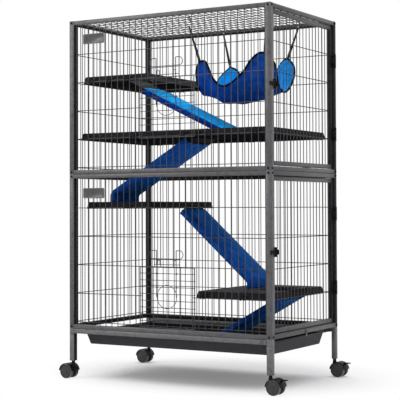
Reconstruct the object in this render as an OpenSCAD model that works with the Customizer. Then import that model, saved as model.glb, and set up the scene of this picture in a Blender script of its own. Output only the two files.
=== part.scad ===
// Two-storey wire cage for small animals, on a wheeled stand, with four shelves, four
// covered ramps, a slide-out litter tray, two side doors, two small front doors and a hammock.
// Places are measured from the cage's front left corner on the floor:
// x to the right, y to the rear, z up, in millimetres.

/* [Cage] */
// Width of the cage over its posts
cage_w = 800; // [780:5:860]
// Depth of the cage over its posts
cage_d = 510; // [490:5:560]
// Height of each of the two storeys
storey_h = 542.5; // [535:2.5:580]
// Height from the floor to the top of the stand
stand_h = 175; // [170:1:200]
// Width of the front corner posts
front_post = 20; // [18:0.5:22]
// Width of the rear corner posts
rear_post = 17; // [15:0.5:20]
// Height and depth of the rails
rail = 15; // [13:0.5:17]
// Radius of the tubes' long edges
tube_round = 2.5; // [1:0.25:4]

/* [Wires] */
// Thickness of the panel wires
wire_d = 2.6; // [2:0.1:3.2]
// Distance from one upright wire to the next
wire_pitch = 25; // [24:0.5:27]
// Distance from one level wire to the next
row_pitch = 100; // [96:1:102]
// Height of the lowest level wire above its storey's foot
first_row = 24; // [22:1:30]
// Depth that crossing wires are pressed into each other by the weld
weld = 0.2; // [0.1:0.05:0.4]
// Distance from the panel's outer face to the middle of its upright wires
wire_inset = 9.7; // [9.5:0.1:11]
// Spacing of the roof's cross wires
roof_pitch = 50; // [40:1:60]

/* [Side doors] */
// Width and depth of the door's tube
door_tube = 15; // [13:0.5:16]
// How far the door's face lies behind the cage's side
door_recess = 6; // [4:0.5:8]
// Gap between the door and what is round it
door_gap = 2; // [1.5:0.25:3.5]
// Gap at the hinge side
hinge_gap = 3.5; // [3:0.25:5]
// Height of a hinge
hinge_h = 48; // [36:1:60]
// Thickness of a hinge's leaves
leaf_t = 1.5; // [1:0.25:2]
// Diameter of a hinge's pin
hinge_pin_d = 4; // [3:0.25:5]
// Wall of a hinge's knuckle
knuckle_wall = 2; // [1.5:0.25:2.5]
// Height of the lower hinge's middle above the storey's foot
hinge_low = 140; // [100:5:200]
// Height of the upper hinge's middle above the storey's foot
hinge_high = 401; // [320:1:460]

/* [Side door latch] */
// Height of the latch's middle above the storey's foot
latch_z = 280; // [220:5:340]
// Height of the latch's hook
latch_h = 26; // [18:1:34]
// Thickness of the hook's strip
latch_t = 3; // [2:0.25:4]
// How far the hook's tip reaches over the post's front
latch_tip = 3; // [2:0.5:14]
// How far the thumb tab stands out from the pin
thumb_reach = 9; // [6:1:20]

/* [Small front doors] */
// Place of the door's middle from the cage's left side
small_door_x = 403; // [402.5:0.5:405]
// Width of the door over its frame wire's middle
small_door_w = 216; // [212:1:220]
// Number of wire pitches that the opening spans
opening_pitches = 8; // [8:1:8]
// Diameter of the door's frame wire
frame_wire = 3.2; // [2.8:0.1:3.6]
// Diameter of the door's grid wires
grid_wire = 2.2; // [1.8:0.1:2.4]
// Spacing of the door's level wires
grid_pitch = 23; // [20:1:30]
// Radius of the ring on the door
ring_r = 39; // [32:1:44]
// Height of the ring's middle above the door's hinge
ring_z = 105; // [90:1:115]
// Distance from the panel's outer face to the middle of the door's frame
small_door_inset = 5; // [4.8:0.1:5.2]
// Diameter of the latch wire
latch_wire = 2.8; // [2.4:0.1:3]
// Height of the latch wire's legs
leg_h = 156; // [150:1:170]
// Width of the latch wire's finger loops
loop_w = 27; // [20:1:34]
// Height of the latch wire's finger loops
loop_h = 28; // [22:1:34]
// How far the latch wire slides down
latch_travel = 22; // [15:1:30]
// How much higher the upper door's ring and latch stand than the lower door's
upper_lift = 8; // [0:1:10]

/* [Stand and casters] */
// Height of the casters up to the leg's end
caster_h = 62.5; // [62:0.5:66]
// Diameter of a caster's wheels
wheel_d = 50; // [48:0.5:51]
// Width of one wheel
wheel_w = 15.5; // [11:0.5:17]
// Gap between the two wheels of a caster
wheel_gap = 15.2; // [15:0.2:18]
// How far the wheels trail behind the caster's stem
trail = 18; // [16:0.5:20]
// Thickness of the caster's hood
hood_t = 2.2; // [1.2:0.1:2.6]
// Gap between the wheels and the hood
hood_gap = 1.2; // [0.5:0.1:1.5]
// Length of the brake pedal from its pin
pedal_l = 18; // [14:1:24]
// Diameter of the stem in the leg
stem_d = 10; // [8:0.5:12]
// Depth of the stem's hole in the leg
socket_depth = 32; // [20:1:45]

/* [Litter tray] */
// Depth of the tray below the stand's rail
tray_drop = 38; // [25:1:42]
// Wall of the tray
tray_wall = 2.5; // [2:0.25:3.5]
// How much the tray's walls lean in
tray_lean = 7; // [3:0.5:9]
// Distance from the cage's left side to the tray's rim
tray_left = 46; // [30:1:60]
// Distance from the cage's right side to the tray's rim
tray_right = 15; // [10:1:25]
// Width of the flat part behind the tray's body, up to its rear flange
tray_back = 45; // [0:1:60]
// How far the tray slides out before the low ramp stops it
tray_travel = 340; // [200:10:350]

/* [Shelves] */
// Depth of a shelf's rim
shelf_h = 24; // [18:1:30]
// Wall of a shelf
shelf_wall = 2.5; // [2:0.25:3.5]
// How far the rim flares out
shelf_flare = 6; // [3:0.5:8]
// Distance from the cage's front to a shelf's top
shelf_front = 36; // [30:1:44]
// Distance from the cage's rear to the full shelf's top
full_rear = 36; // [30:1:60]
// Distance from the cage's rear to a half shelf's top
half_rear = 55; // [30:1:70]
// Width of a half shelf's top
half_w = 267; // [250:1:272]
// From the cage's right side to the right half shelf's edge
right_shelf_gap = 31; // [28:1:48]

/* [Ramps] */
// Width of a ramp
ramp_w = 160; // [140:1:170]
// Thickness of a ramp with its cover
ramp_t = 24; // [18:0.5:26]
// Radius of the bend above a ramp's turned-down foot
ramp_bend = 35; // [30:1:40]
// Thickness of a ramp cover's cloth
cloth_t = 2.3; // [1.5:0.1:3]
// Length of the hook at a ramp's head
hook_l = 18; // [12:1:24]

/* [Hammock] */
// Width of the hammock between its corners
hammock_w = 232; // [200:1:260]
// Depth of the hammock between its edges
hammock_d = 216; // [180:1:240]
// Depth of the hammock below its corners
hammock_sag = 150; // [110:1:180]
// Thickness of the hammock's cloth
hammock_t = 4; // [3:0.25:5]
// Width of a strap
strap_w = 9; // [6:0.5:14]

/* [Hidden] */

// colours as on the real cage
hammertone = [0.36, 0.34, 0.35];
leg_grey = [0.48, 0.46, 0.47];
black_wire = [0.09, 0.09, 0.10];
black_plastic = [0.07, 0.07, 0.08];
shelf_black = [0.15, 0.15, 0.17];
cover_blue = [0.05, 0.22, 0.60];
steel = [0.60, 0.60, 0.62];

// levels
lower_z = stand_h;
upper_z = stand_h + storey_h;
top_z = stand_h + 2 * storey_h;
run = 0.3;          // clear gap between things that move past or rest near each other
fit = 0.08;         // radial gap of a turning fit
row_in = wire_inset + wire_d - weld;   // middle of the level wires, behind the upright ones
bolt_d = 8;
bolt_h = 3;

// the model's plan is centred on everything it carries, trailing casters and latches too
wheel_r = wheel_d / 2;
hood_r = wheel_r + hood_gap + hood_t;
pin_angle = 45;
pedal_pin_r = hood_r + 4.1;
guard_from = 5;      // where a hood's guard starts and ends, in degrees round the wheels
guard_to = 175;
right_reach = cage_w - min(front_post, rear_post) / 2 + trail + pedal_pin_r * cos(pin_angle) + pedal_l;
left_reach = min(front_post, rear_post) / 2 - trail - hood_r;
mid_x = (right_reach + left_reach) / 2;

module corner() { translate([-mid_x, -cage_d / 2, 0]) children(); }

// --- bars and wires ---------------------------------------------------------------

// corner points of a rectangle whose corners are rounded in two short flats
function soft_rect(w, h, r) = [
  for (c = [[w - r, h - r, 0], [r, h - r, 90], [r, r, 180], [w - r, r, 270]])
    for (a = [0, 45, 90]) [c[0] + r * cos(c[2] + a), c[1] + r * sin(c[2] + a)]
];

module bar_x(x0, x1, y, z, d, h)
  translate([x0, y, z]) rotate([90, 0, 90]) linear_extrude(x1 - x0) polygon(soft_rect(d, h, tube_round));
module bar_y(y0, y1, x, z, w, h)
  translate([x, y1, z]) rotate([90, 0, 0]) linear_extrude(y1 - y0) polygon(soft_rect(w, h, tube_round));
module bar_z(z0, z1, x, y, w, d)
  translate([x, y, z0]) linear_extrude(z1 - z0) polygon(soft_rect(w, d, tube_round));

// straight wires of eight flats, d across the flats
module rod(l, d) rotate(22.5) cylinder(d = d / cos(22.5), h = l, $fn = 8);
module wire_z(x, y, z0, z1, d = wire_d) translate([x, y, z0]) rod(z1 - z0, d);
module wire_x(x0, x1, y, z, d = wire_d) translate([x0, y, z]) rotate([0, 90, 0]) rod(x1 - x0, d);
module wire_y(y0, y1, x, z, d = wire_d) translate([x, y1, z]) rotate([90, 0, 0]) rod(y1 - y0, d);

// a wire bent into an arc in the upright plane y, from angle a0 to a1
module wire_arc(x, y, z, r, a0, a1, d)
  translate([x, y, z]) rotate([90, 0, 0]) rotate(a0)
    rotate_extrude(angle = a1 - a0, $fn = 48) translate([r, 0]) circle(d = d, $fn = 8);

// a plate in the x-z plane, given by its outline, from y0 to y1
module side_plate(y0, y1, outline)
  translate([0, y1, 0]) rotate([90, 0, 0]) linear_extrude(y1 - y0) polygon(outline);

// --- stand --------------------------------------------------------------------------

leg_neck_z = stand_h - rail - 7.5;     // a narrow joint shows round each leg here
leg_neck_h = 2.5;
flange_t = 1.5;
flange_reach = 27;                     // how far the tray's flange reaches in from the outside

// one leg with its joint line and the hole for the caster's stem
module leg(x, y, w) {
  difference() {
    union() {
      bar_z(caster_h, leg_neck_z, x, y, w, w);
      translate([x + 1, y + 1, leg_neck_z]) cube([w - 2, w - 2, leg_neck_h]);
      bar_z(leg_neck_z + leg_neck_h, stand_h, x, y, w, w);
    }
    translate([x + w / 2, y + w / 2, caster_h - 1])
      cylinder(d = stem_d + 2 * fit, h = socket_depth + 1, $fn = 32);
  }
}

module stand_front() {
  color(leg_grey) corner() {
    leg(0, 0, front_post);
    leg(cage_w - front_post, 0, front_post);
    bar_x(front_post, cage_w - front_post, 0, stand_h - rail, rail, rail);
    translate([front_post, tube_round, stand_h - rail - flange_t])
      cube([cage_w - 2 * front_post, flange_reach - tube_round, flange_t]);
  }
}

module stand_rear() {
  color(leg_grey) corner() {
    leg(0, cage_d - rear_post, rear_post);
    leg(cage_w - rear_post, cage_d - rear_post, rear_post);
    bar_x(rear_post, cage_w - rear_post, cage_d - rail, stand_h - rail, rail, rail);
    translate([rear_post, cage_d - flange_reach, stand_h - rail - flange_t])
      cube([cage_w - 2 * rear_post, flange_reach - tube_round, flange_t]);
  }
}

// --- casters ------------------------------------------------------------------------

// middle of each leg in plan
function leg_x(right, rear) = let (w = rear ? rear_post : front_post) right ? cage_w - w / 2 : w / 2;
function leg_y(rear) = rear ? cage_d - rear_post / 2 : front_post / 2;

neck_d = 12;
foot_pin_d = 8;
hub_d = 14;
hub_top = caster_h - 8;
hub_z = 36;
foot_pin_z = 38.5;
axle_d = 6;
wheel_end = wheel_gap / 2 + wheel_w;   // outer face of a wheel from the caster's middle
wheel_cap = 1.8;                       // closed wall at a wheel's outer face
web_t = 8;

module caster_stems() {
  color(black_plastic) corner()
    for (right = [false, true], rear = [false, true])
      translate([leg_x(right, rear), leg_y(rear), 0]) {
        translate([0, 0, caster_h]) cylinder(d = stem_d, h = socket_depth - 2, $fn = 32);
        translate([0, 0, hub_top + run]) cylinder(d = neck_d, h = caster_h - hub_top - run, $fn = 32);
        translate([0, 0, foot_pin_z]) cylinder(d = foot_pin_d, h = caster_h - foot_pin_z, $fn = 32);
      }
}

// the hood: a curved guard over both wheels, a hub for the stem, a web and the axle
module caster_hood() {
  difference() {
    union() {
      translate([trail, 0, wheel_r]) rotate([90, 0, 0]) rotate(guard_from)
        rotate_extrude(angle = guard_to - guard_from, $fn = 64)
          translate([wheel_r + hood_gap, -wheel_end]) square([hood_t, 2 * wheel_end]);
      translate([0, 0, hub_z]) cylinder(d = hub_d, h = hub_top - hub_z, $fn = 32);
      side_plate(-web_t / 2, web_t / 2, [
        [-hub_d / 2 + 2, hub_z], [trail - 4, wheel_r - 9], [trail + 6, wheel_r - 9],
        [trail + 16, wheel_r + 14], [trail + 14, wheel_r + 21], [trail, wheel_r + wheel_r + 0.4],
        [0, hub_top - 6], [-hub_d / 2 + 2, hub_top - 6]
      ]);
      translate([trail, wheel_end - wheel_cap - 0.6, wheel_r]) rotate([90, 0, 0])
        cylinder(d = axle_d, h = 2 * (wheel_end - wheel_cap - 0.6), $fn = 32);
    }
    translate([0, 0, foot_pin_z - 1]) cylinder(d = foot_pin_d + 2 * fit, h = 60, $fn = 32);
  }
}

// the same hood with an ear and a pin for the brake pedal
module braked_hood() {
  pin_x = trail + pedal_pin_r * cos(pin_angle);
  pin_z = wheel_r + pedal_pin_r * sin(pin_angle);
  caster_hood();
  side_plate(-2.5, 2.5, [
    [trail + (hood_r - 1) * cos(58), wheel_r + (hood_r - 1) * sin(58)],
    [trail + (hood_r - 1) * cos(32), wheel_r + (hood_r - 1) * sin(32)],
    [pin_x + 2.4, pin_z - 0.8], [pin_x + 1.2, pin_z + 2.4], [pin_x - 1.2, pin_z + 2.6]
  ]);
  translate([pin_x, 6.5, pin_z]) rotate([90, 0, 0]) cylinder(d = 3, h = 13, $fn = 24);
}

module wheel_pair() {
  for (side = [1, -1])
    translate([trail, 0, wheel_r]) rotate([side * 90, 0, 0]) rotate_extrude($fn = 64)
      polygon([
        [axle_d / 2 + fit, wheel_gap / 2], [wheel_r - 1.5, wheel_gap / 2],
        [wheel_r, wheel_gap / 2 + 1.5], [wheel_r, wheel_end - 3], [wheel_r - 2.2, wheel_end - 0.8],
        [wheel_r - 4, wheel_end - 1.4], [wheel_r - 8, wheel_end - 0.4], [0, wheel_end],
        [0, wheel_end - wheel_cap], [axle_d / 2 + fit, wheel_end - wheel_cap]
      ]);
}

// the pedal: two cheeks on the pin and a plate that is trodden down
module pedal() {
  translate([trail + pedal_pin_r * cos(pin_angle), 0, wheel_r + pedal_pin_r * sin(pin_angle)]) {
    difference() {
      union() {
        for (y = [-6.2, 3]) side_plate(y, y + 3.2,
          [[-3, -2], [-1, -3.3], [8, -1.5], [8, 3], [-1, 3.3], [-3, 2]]);
        translate([4.5, -8, 0]) rotate([90, 0, 90])
          linear_extrude(pedal_l - 4.5) polygon(soft_rect(16, 3, 1.2));
      }
      translate([0, 10, 0]) rotate([90, 0, 0]) cylinder(d = 3 + 2 * fit, h = 20, $fn = 24);
    }
  }
}

// a caster's place: the left ones trail to the left and the right ones to the right
module at_leg(right, rear)
  corner() translate([leg_x(right, rear), leg_y(rear), 0]) rotate(right ? 0 : 180) children();

module caster_hood_front_left() { color(black_plastic) at_leg(false, false) caster_hood(); }
module caster_hood_front_right() { color(black_plastic) at_leg(true, false) braked_hood(); }
module caster_hood_rear_left() { color(black_plastic) at_leg(false, true) caster_hood(); }
module caster_hood_rear_right() { color(black_plastic) at_leg(true, true) braked_hood(); }
module caster_wheels_front_left() { color(black_plastic) at_leg(false, false) wheel_pair(); }
module caster_wheels_front_right() { color(black_plastic) at_leg(true, false) wheel_pair(); }
module caster_wheels_rear_left() { color(black_plastic) at_leg(false, true) wheel_pair(); }
module caster_wheels_rear_right() { color(black_plastic) at_leg(true, true) wheel_pair(); }
module brake_pedal_front_right() { color(black_plastic) at_leg(true, false) pedal(); }
module brake_pedal_rear_right() { color(black_plastic) at_leg(true, true) pedal(); }

// --- storey frames --------------------------------------------------------------------

// two posts joined by a low rail and a high rail; the front and the rear of a storey
module front_frame(z) {
  bar_z(z, z + storey_h, 0, 0, front_post, front_post);
  bar_z(z, z + storey_h, cage_w - front_post, 0, front_post, front_post);
  for (level = [z, z + storey_h - rail])
    bar_x(front_post, cage_w - front_post, 0, level, rail, rail);
}

module rear_frame(z) {
  bar_z(z, z + storey_h, 0, cage_d - rear_post, rear_post, rear_post);
  bar_z(z, z + storey_h, cage_w - rear_post, cage_d - rear_post, rear_post, rear_post);
  for (level = [z, z + storey_h - rail])
    bar_x(rear_post, cage_w - rear_post, cage_d - rail, level, rail, rail);
}

// the left panel's own frame: two rails between the posts, and an upright against the front one
left_upright = 7;
module left_frame(z) {
  for (level = [z, z + storey_h - rail])
    bar_y(front_post, cage_d - rear_post, 0, level, rail, rail);
  translate([2, front_post, z + rail]) cube([front_post - 3, left_upright, storey_h - 2 * rail]);
}

module right_rails(z) {
  for (level = [z, z + storey_h - rail])
    bar_y(front_post, cage_d - rear_post, cage_w - rail, level, rail, rail);
}

catch_y = cage_d / 2 - 5;
catch_pin_z = lower_z + rail / 2;
catch_pin_d = 5;
module lower_right_rails() {
  color(hammertone) corner() {
    right_rails(lower_z);
    translate([cage_w - 1, catch_y, catch_pin_z]) rotate([0, 90, 0])
      cylinder(d = catch_pin_d, h = 4.6, $fn = 24);
    translate([cage_w + 3.6, catch_y, catch_pin_z]) rotate([0, 90, 0]) cylinder(d = 8, h = 1.4, $fn = 24);
  }
}
module lower_front_frame() { color(hammertone) corner() front_frame(lower_z); }
module lower_rear_frame() { color(hammertone) corner() rear_frame(lower_z); }
module lower_left_frame() { color(hammertone) corner() left_frame(lower_z); }
module upper_front_frame() { color(hammertone) corner() front_frame(upper_z); }
module upper_rear_frame() { color(hammertone) corner() rear_frame(upper_z); }
module upper_left_frame() { color(hammertone) corner() left_frame(upper_z); }
module upper_right_rails() { color(hammertone) corner() right_rails(upper_z); }

// domed bolt heads beside each corner, where the side rails meet the posts
module bolt() rotate_extrude($fn = 24)
  polygon([[0, 0], [bolt_d / 2, 0], [bolt_d / 2, 1], [bolt_d / 2 - 0.8, 2.1],
    [bolt_d / 2 - 2.2, bolt_h], [0, bolt_h]]);

bolt_levels = [
  for (z = [lower_z, upper_z]) for (h = [rail / 2, storey_h - rail / 2]) z + h
];
module frame_bolts() {
  color(black_plastic) corner() for (z = bolt_levels) {
    for (y = [front_post / 2, cage_d - rear_post / 2]) {
      translate([0, y, z]) rotate([0, -90, 0]) bolt();
      translate([cage_w, y, z]) rotate([0, 90, 0]) bolt();
    }
    for (x = [front_post / 2, cage_w - front_post / 2]) translate([x, 0, z]) rotate([90, 0, 0]) bolt();
  }
}

plate_w = 90;
plate_h = 36;
plate_t = 1.5;
plate_x = 55;
plate_drop = 49;                       // from the storey's top to the plate's top
plate_y = wire_inset - wire_d / 2 - plate_t;
module name_plates() {
  color(hammertone) corner() for (z = [upper_z, top_z])
    translate([plate_x, plate_y + plate_t, z - plate_drop - plate_h]) rotate([90, 0, 0])
      linear_extrude(plate_t) polygon(soft_rect(plate_w, plate_h, 4));
}

// --- wire panels ------------------------------------------------------------------------

function row_z(z, k) = z + first_row + k * row_pitch;
last_row = floor((storey_h - rail - first_row - 10) / row_pitch);

opening_w = opening_pitches * wire_pitch;
opening_x = round((small_door_x - opening_w / 2) / wire_pitch) * wire_pitch;
door_rows = 2;                         // the opening is this many rows high
lower_door_row = 0;
upper_door_row = 1;

column_count = floor((cage_w - front_post - 5) / wire_pitch);

// upright wires between the rails, left out where the door's opening is
module front_wires(z, door_row) {
  z0 = z + rail;
  z1 = z + storey_h - rail;
  o0 = row_z(z, door_row);
  o1 = row_z(z, door_row + door_rows);
  for (k = [1 : column_count]) {
    x = k * wire_pitch;
    inside = x > opening_x + 1 && x < opening_x + opening_w - 1;
    if (inside) {
      wire_z(x, wire_inset, z0, o0 + wire_d / 2);
      wire_z(x, wire_inset, o1 - wire_d / 2, z1);
    } else {
      wire_z(x, wire_inset, z0, z1);
    }
  }
  for (k = [0 : last_row]) {
    if (k > door_row && k < door_row + door_rows) {
      wire_x(front_post, opening_x + wire_d / 2, row_in, row_z(z, k));
      wire_x(opening_x + opening_w - wire_d / 2, cage_w - front_post, row_in, row_z(z, k));
    } else {
      wire_x(front_post, cage_w - front_post, row_in, row_z(z, k));
    }
  }
  catch_frame(o1);
  hinge_eyes(o0);
}

// a wire over the door with two small rectangles on it, behind the latch's legs
catch_low = 8;
catch_high = 22;
catch_w = 10;
catch_out = 32;                        // from the door's middle to each rectangle's
module catch_frame(top_row) {
  d = grid_wire;
  y = wire_inset - (wire_d + d) / 2 + weld;
  wire_x(opening_x + 2 * wire_pitch, opening_x + 6 * wire_pitch, y, top_row + catch_low, d);
  for (side = [-1, 1]) {
    x = opening_x + opening_w / 2 + side * catch_out;
    for (end = [x - catch_w / 2, x + catch_w / 2])
      wire_z(end, y, top_row + catch_low, top_row + catch_high, d - 0.2);
    wire_x(x - (catch_w + d) / 2, x + (catch_w + d) / 2, y, top_row + catch_high, d);
  }
}

// two eyes in which the door's bottom wire turns
eye_offset = 78;
eye_wall = 1.4;
hinge_drop = 5.2;                      // the door's bottom wire lies this far below the row
module hinge_eyes(low_row) {
  for (side = [-1, 1])
    translate([small_door_x + side * eye_offset - 2, small_door_inset, low_row - hinge_drop]) difference() {
      union() {
        rotate([0, 90, 0]) cylinder(r = frame_wire / 2 + fit + eye_wall, h = 4, $fn = 32);
        translate([0, frame_wire / 2, 0]) cube([4, row_in - small_door_inset, frame_wire / 2 + eye_wall]);
        translate([0, row_in - small_door_inset - 1, 0]) cube([4, 2, hinge_drop]);
      }
      translate([-1, 0, 0]) rotate([0, 90, 0]) cylinder(r = frame_wire / 2 + fit, h = 6, $fn = 32);
    }
}

module rear_wires(z) {
  for (k = [1 : column_count]) wire_z(k * wire_pitch, cage_d - wire_inset, z + rail, z + storey_h - rail);
  for (k = [0 : last_row]) wire_x(rear_post, cage_w - rear_post, cage_d - row_in, row_z(z, k));
}

side_first = 30;
module left_wires(z) {
  side_count = floor((cage_d - rear_post - left_upright - 4 - side_first) / wire_pitch);
  for (k = [0 : side_count]) wire_z(wire_inset, side_first + k * wire_pitch, z + rail, z + storey_h - rail);
  for (k = [0 : last_row])
    wire_y(front_post + left_upright, cage_d - rear_post, row_in, row_z(z, k));
}

module lower_front_wires() { color(black_wire) corner() front_wires(lower_z, lower_door_row); }
module lower_rear_wires() { color(black_wire) corner() rear_wires(lower_z); }
module lower_left_wires() { color(black_wire) corner() left_wires(lower_z); }
module upper_front_wires() { color(black_wire) corner() front_wires(upper_z, upper_door_row); }
module upper_rear_wires() { color(black_wire) corner() rear_wires(upper_z); }
module upper_left_wires() { color(black_wire) corner() left_wires(upper_z); }

roof_z = top_z - rail / 2;
roof_first = 30;
module roof_grid() {
  roof_rows = floor((cage_d - rear_post - 4 - roof_first) / roof_pitch);
  color(black_wire) corner() {
    for (k = [1 : column_count]) wire_y(rail, cage_d - rail, k * wire_pitch, roof_z);
    for (k = [0 : roof_rows])
      wire_x(rail, cage_w - rail, roof_first + k * roof_pitch, roof_z - wire_d + weld);
  }
}

// --- side doors ---------------------------------------------------------------------------

door_x = cage_w - door_recess - door_tube;           // inner face of the door
door_y0 = front_post + door_gap;
door_y1 = cage_d - rear_post - hinge_gap;
function door_z0(z) = z + rail + door_gap;
function door_z1(z) = z + storey_h - rail - door_gap;

module door_frame(z) {
  for (y = [door_y0, door_y1 - door_tube]) bar_z(door_z0(z), door_z1(z), door_x, y, door_tube, door_tube);
  for (level = [door_z0(z), door_z1(z) - door_tube])
    bar_y(door_y0 + door_tube, door_y1 - door_tube, door_x, level, door_tube, door_tube);
}

module door_wires(z) {
  x = door_x + door_tube / 2;
  y0 = door_y0 + door_tube;
  y1 = door_y1 - door_tube;
  count = floor((y1 - y0 - 8) / wire_pitch);
  first = (y1 + y0 - count * wire_pitch) / 2;
  for (k = [0 : count]) wire_z(x, first + k * wire_pitch, door_z0(z) + door_tube, door_z1(z) - door_tube);
  for (k = [0 : last_row])
    if (row_z(z, k) > door_z0(z) + door_tube - wire_d) wire_y(y0, y1, x - wire_d + weld, row_z(z, k));
}

// hinges: the pin stands beside the gap between the door and the rear post
knuckle_r = hinge_pin_d / 2 + fit + knuckle_wall;
hinge_x = cage_w + 3.2;
hinge_y = door_y1 + hinge_gap / 2;
fixed_knuckle = 14;

function hinge_levels(z) = [z + hinge_low - hinge_h / 2, z + hinge_high - hinge_h / 2];

module fixed_leaf() {
  leaf_y0 = hinge_y + knuckle_r + run;
  difference() {
    union() {
      translate([cage_w, leaf_y0, 0]) cube([leaf_t, cage_d - tube_round - leaf_y0, hinge_h]);
      for (z = [0, hinge_h - fixed_knuckle]) {
        translate([hinge_x, hinge_y, z]) cylinder(r = knuckle_r, h = fixed_knuckle, $fn = 32);
        translate([cage_w, hinge_y, z]) cube([leaf_t, leaf_y0 - hinge_y + 1, fixed_knuckle]);
      }
    }
    translate([cage_w - 6, hinge_y - 10, -1]) cube([6, 20, hinge_h + 2]);
  }
  translate([hinge_x, hinge_y, 0]) cylinder(d = hinge_pin_d, h = hinge_h, $fn = 32);
}

module moving_leaf() {
  knuckle_h = hinge_h - 2 * fixed_knuckle - 2 * run;
  leaf_x = cage_w - door_recess;
  difference() {
    union() {
      translate([leaf_x, door_y1 - door_tube + 1, 0]) cube([leaf_t, door_tube - 4, hinge_h]);
      translate([leaf_x, door_y1 - 6, fixed_knuckle + run])
        cube([hinge_x - leaf_x, leaf_t + 0.5, knuckle_h]);
      translate([hinge_x, hinge_y, fixed_knuckle + run]) cylinder(r = knuckle_r, h = knuckle_h, $fn = 32);
      translate([hinge_x - 1.2, door_y1 - 6, fixed_knuckle + run]) cube([leaf_t, 7, knuckle_h]);
    }
    translate([hinge_x, hinge_y, -1]) cylinder(r = hinge_pin_d / 2 + fit, h = hinge_h + 2, $fn = 32);
  }
}

module post_hinge_leaves() {
  color(black_plastic) corner()
    for (storey = [lower_z, upper_z]) for (z = hinge_levels(storey)) translate([0, 0, z]) fixed_leaf();
}

// the latch's bracket: a plate on the door's tube with two ears and a pin
latch_x = cage_w + run + 0.1 + latch_t / 2;          // middle of the hook's strip and of its pin
latch_y = door_y0 + door_tube / 2;
ear_t = 2.5;
latch_pin_d = 4;
latch_knuckle_r = latch_pin_d / 2 + fit + 1.6;

module latch_bracket(z) {
  x0 = cage_w - door_recess;
  h = latch_h + 2 * run;
  translate([x0, door_y0 + 1, z - h / 2 - ear_t]) cube([2, door_tube - 2, h + 2 * ear_t]);
  for (level = [z - h / 2 - ear_t, z + h / 2]) {
    translate([x0, latch_y - 4, level]) cube([latch_x - x0, 8, ear_t]);
    translate([latch_x, latch_y, level]) cylinder(d = 8, h = ear_t, $fn = 32);
  }
  translate([latch_x, latch_y, z - h / 2]) cylinder(d = latch_pin_d, h = h, $fn = 32);
}

// the hook: a strip along the post's side whose tip bends round to its front
module side_latch(z) {
  x0 = cage_w + run + 0.1;
  tip_y = -run - 0.1;
  translate([0, 0, z - latch_h / 2]) difference() {
    union() {
      translate([x0, tip_y - latch_t, latch_h / 4])
        cube([latch_t, latch_y - tip_y + latch_t, latch_h / 2]);
      translate([x0 - latch_tip, tip_y - latch_t, latch_h / 4])
        cube([latch_tip + latch_t, latch_t, latch_h / 2]);
      translate([latch_x, latch_y, 0]) cylinder(r = latch_knuckle_r, h = latch_h, $fn = 32);
      translate([latch_x, latch_y - latch_t / 2, 5]) cube([thumb_reach, latch_t, latch_h - 10]);
      translate([latch_x + thumb_reach, latch_y, 5]) cylinder(d = latch_t + 1, h = latch_h - 10, $fn = 24);
    }
    translate([latch_x, latch_y, -1]) cylinder(r = latch_pin_d / 2 + fit, h = latch_h + 2, $fn = 32);
  }
}

module door_fittings(z) {
  for (level = hinge_levels(z)) translate([0, 0, level]) moving_leaf();
  latch_bracket(z + latch_z);
}

module lower_door_frame() { color(hammertone) corner() door_frame(lower_z); }
module lower_door_wires() { color(black_wire) corner() door_wires(lower_z); }
module lower_door_fittings() { color(black_plastic) corner() door_fittings(lower_z); }
module lower_door_latch() { color(black_plastic) corner() side_latch(lower_z + latch_z); }
module upper_door_frame() { color(hammertone) corner() door_frame(upper_z); }
module upper_door_wires() { color(black_wire) corner() door_wires(upper_z); }
module upper_door_fittings() { color(black_plastic) corner() door_fittings(upper_z); }
module upper_door_latch() { color(black_plastic) corner() side_latch(upper_z + latch_z); }

// --- small front doors ------------------------------------------------------------------------

small_door_h = door_rows * row_pitch + 4;            // between its bottom and its top wire
grid_y = small_door_inset + grid_wire - weld;             // level wires lie behind the upright ones
ring_y = small_door_inset - 1.2;
leg_spread = ring_r;                                 // the latch's legs stand beside the ring
latch_plane = 0.9;
grid_top = small_door_h + 2 - grid_pitch;            // highest level wire
guide_levels = [grid_top - 2 * grid_pitch, grid_top];
guide_r = latch_wire / 2 + fit + 1.3;

// a wire door, drawn with its hinge wire at height 0; lift raises its ring
module small_door(lift) {
  x0 = small_door_x - small_door_w / 2;
  x1 = small_door_x + small_door_w / 2;
  y = small_door_inset;
  wire_x(x0 - frame_wire / 2, x1 + frame_wire / 2, y, small_door_h, frame_wire);
  for (x = [x0, x1]) wire_z(x, y, 0, small_door_h, frame_wire);
  translate([x0 - frame_wire / 2, y, 0]) rotate([0, 90, 0])
    cylinder(d = frame_wire, h = small_door_w + frame_wire, $fn = 24);
  for (k = [1 : 3]) wire_z(x0 + k * small_door_w / 4, y, 0, small_door_h, grid_wire);
  rows = floor((small_door_h - 10) / grid_pitch);
  for (k = [1 : rows])
    wire_x(x0 - frame_wire / 2, x1 + frame_wire / 2, grid_y, grid_top - (k - 1) * grid_pitch, grid_wire);
  wire_arc(small_door_x, ring_y, ring_z + lift, ring_r, 0, 360, grid_wire + 0.2);
  for (side = [-1, 1], level = guide_levels)
    translate([small_door_x + side * leg_spread, latch_plane, level - 2]) difference() {
      union() {
        cylinder(r = guide_r, h = 4, $fn = 32);
        translate([-1.5, guide_r - 0.8, 0]) cube([3, grid_y - latch_plane - guide_r + 0.8, 4]);
      }
      translate([0, 0, -1]) cylinder(r = latch_wire / 2 + fit, h = 6, $fn = 32);
    }
}

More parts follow.
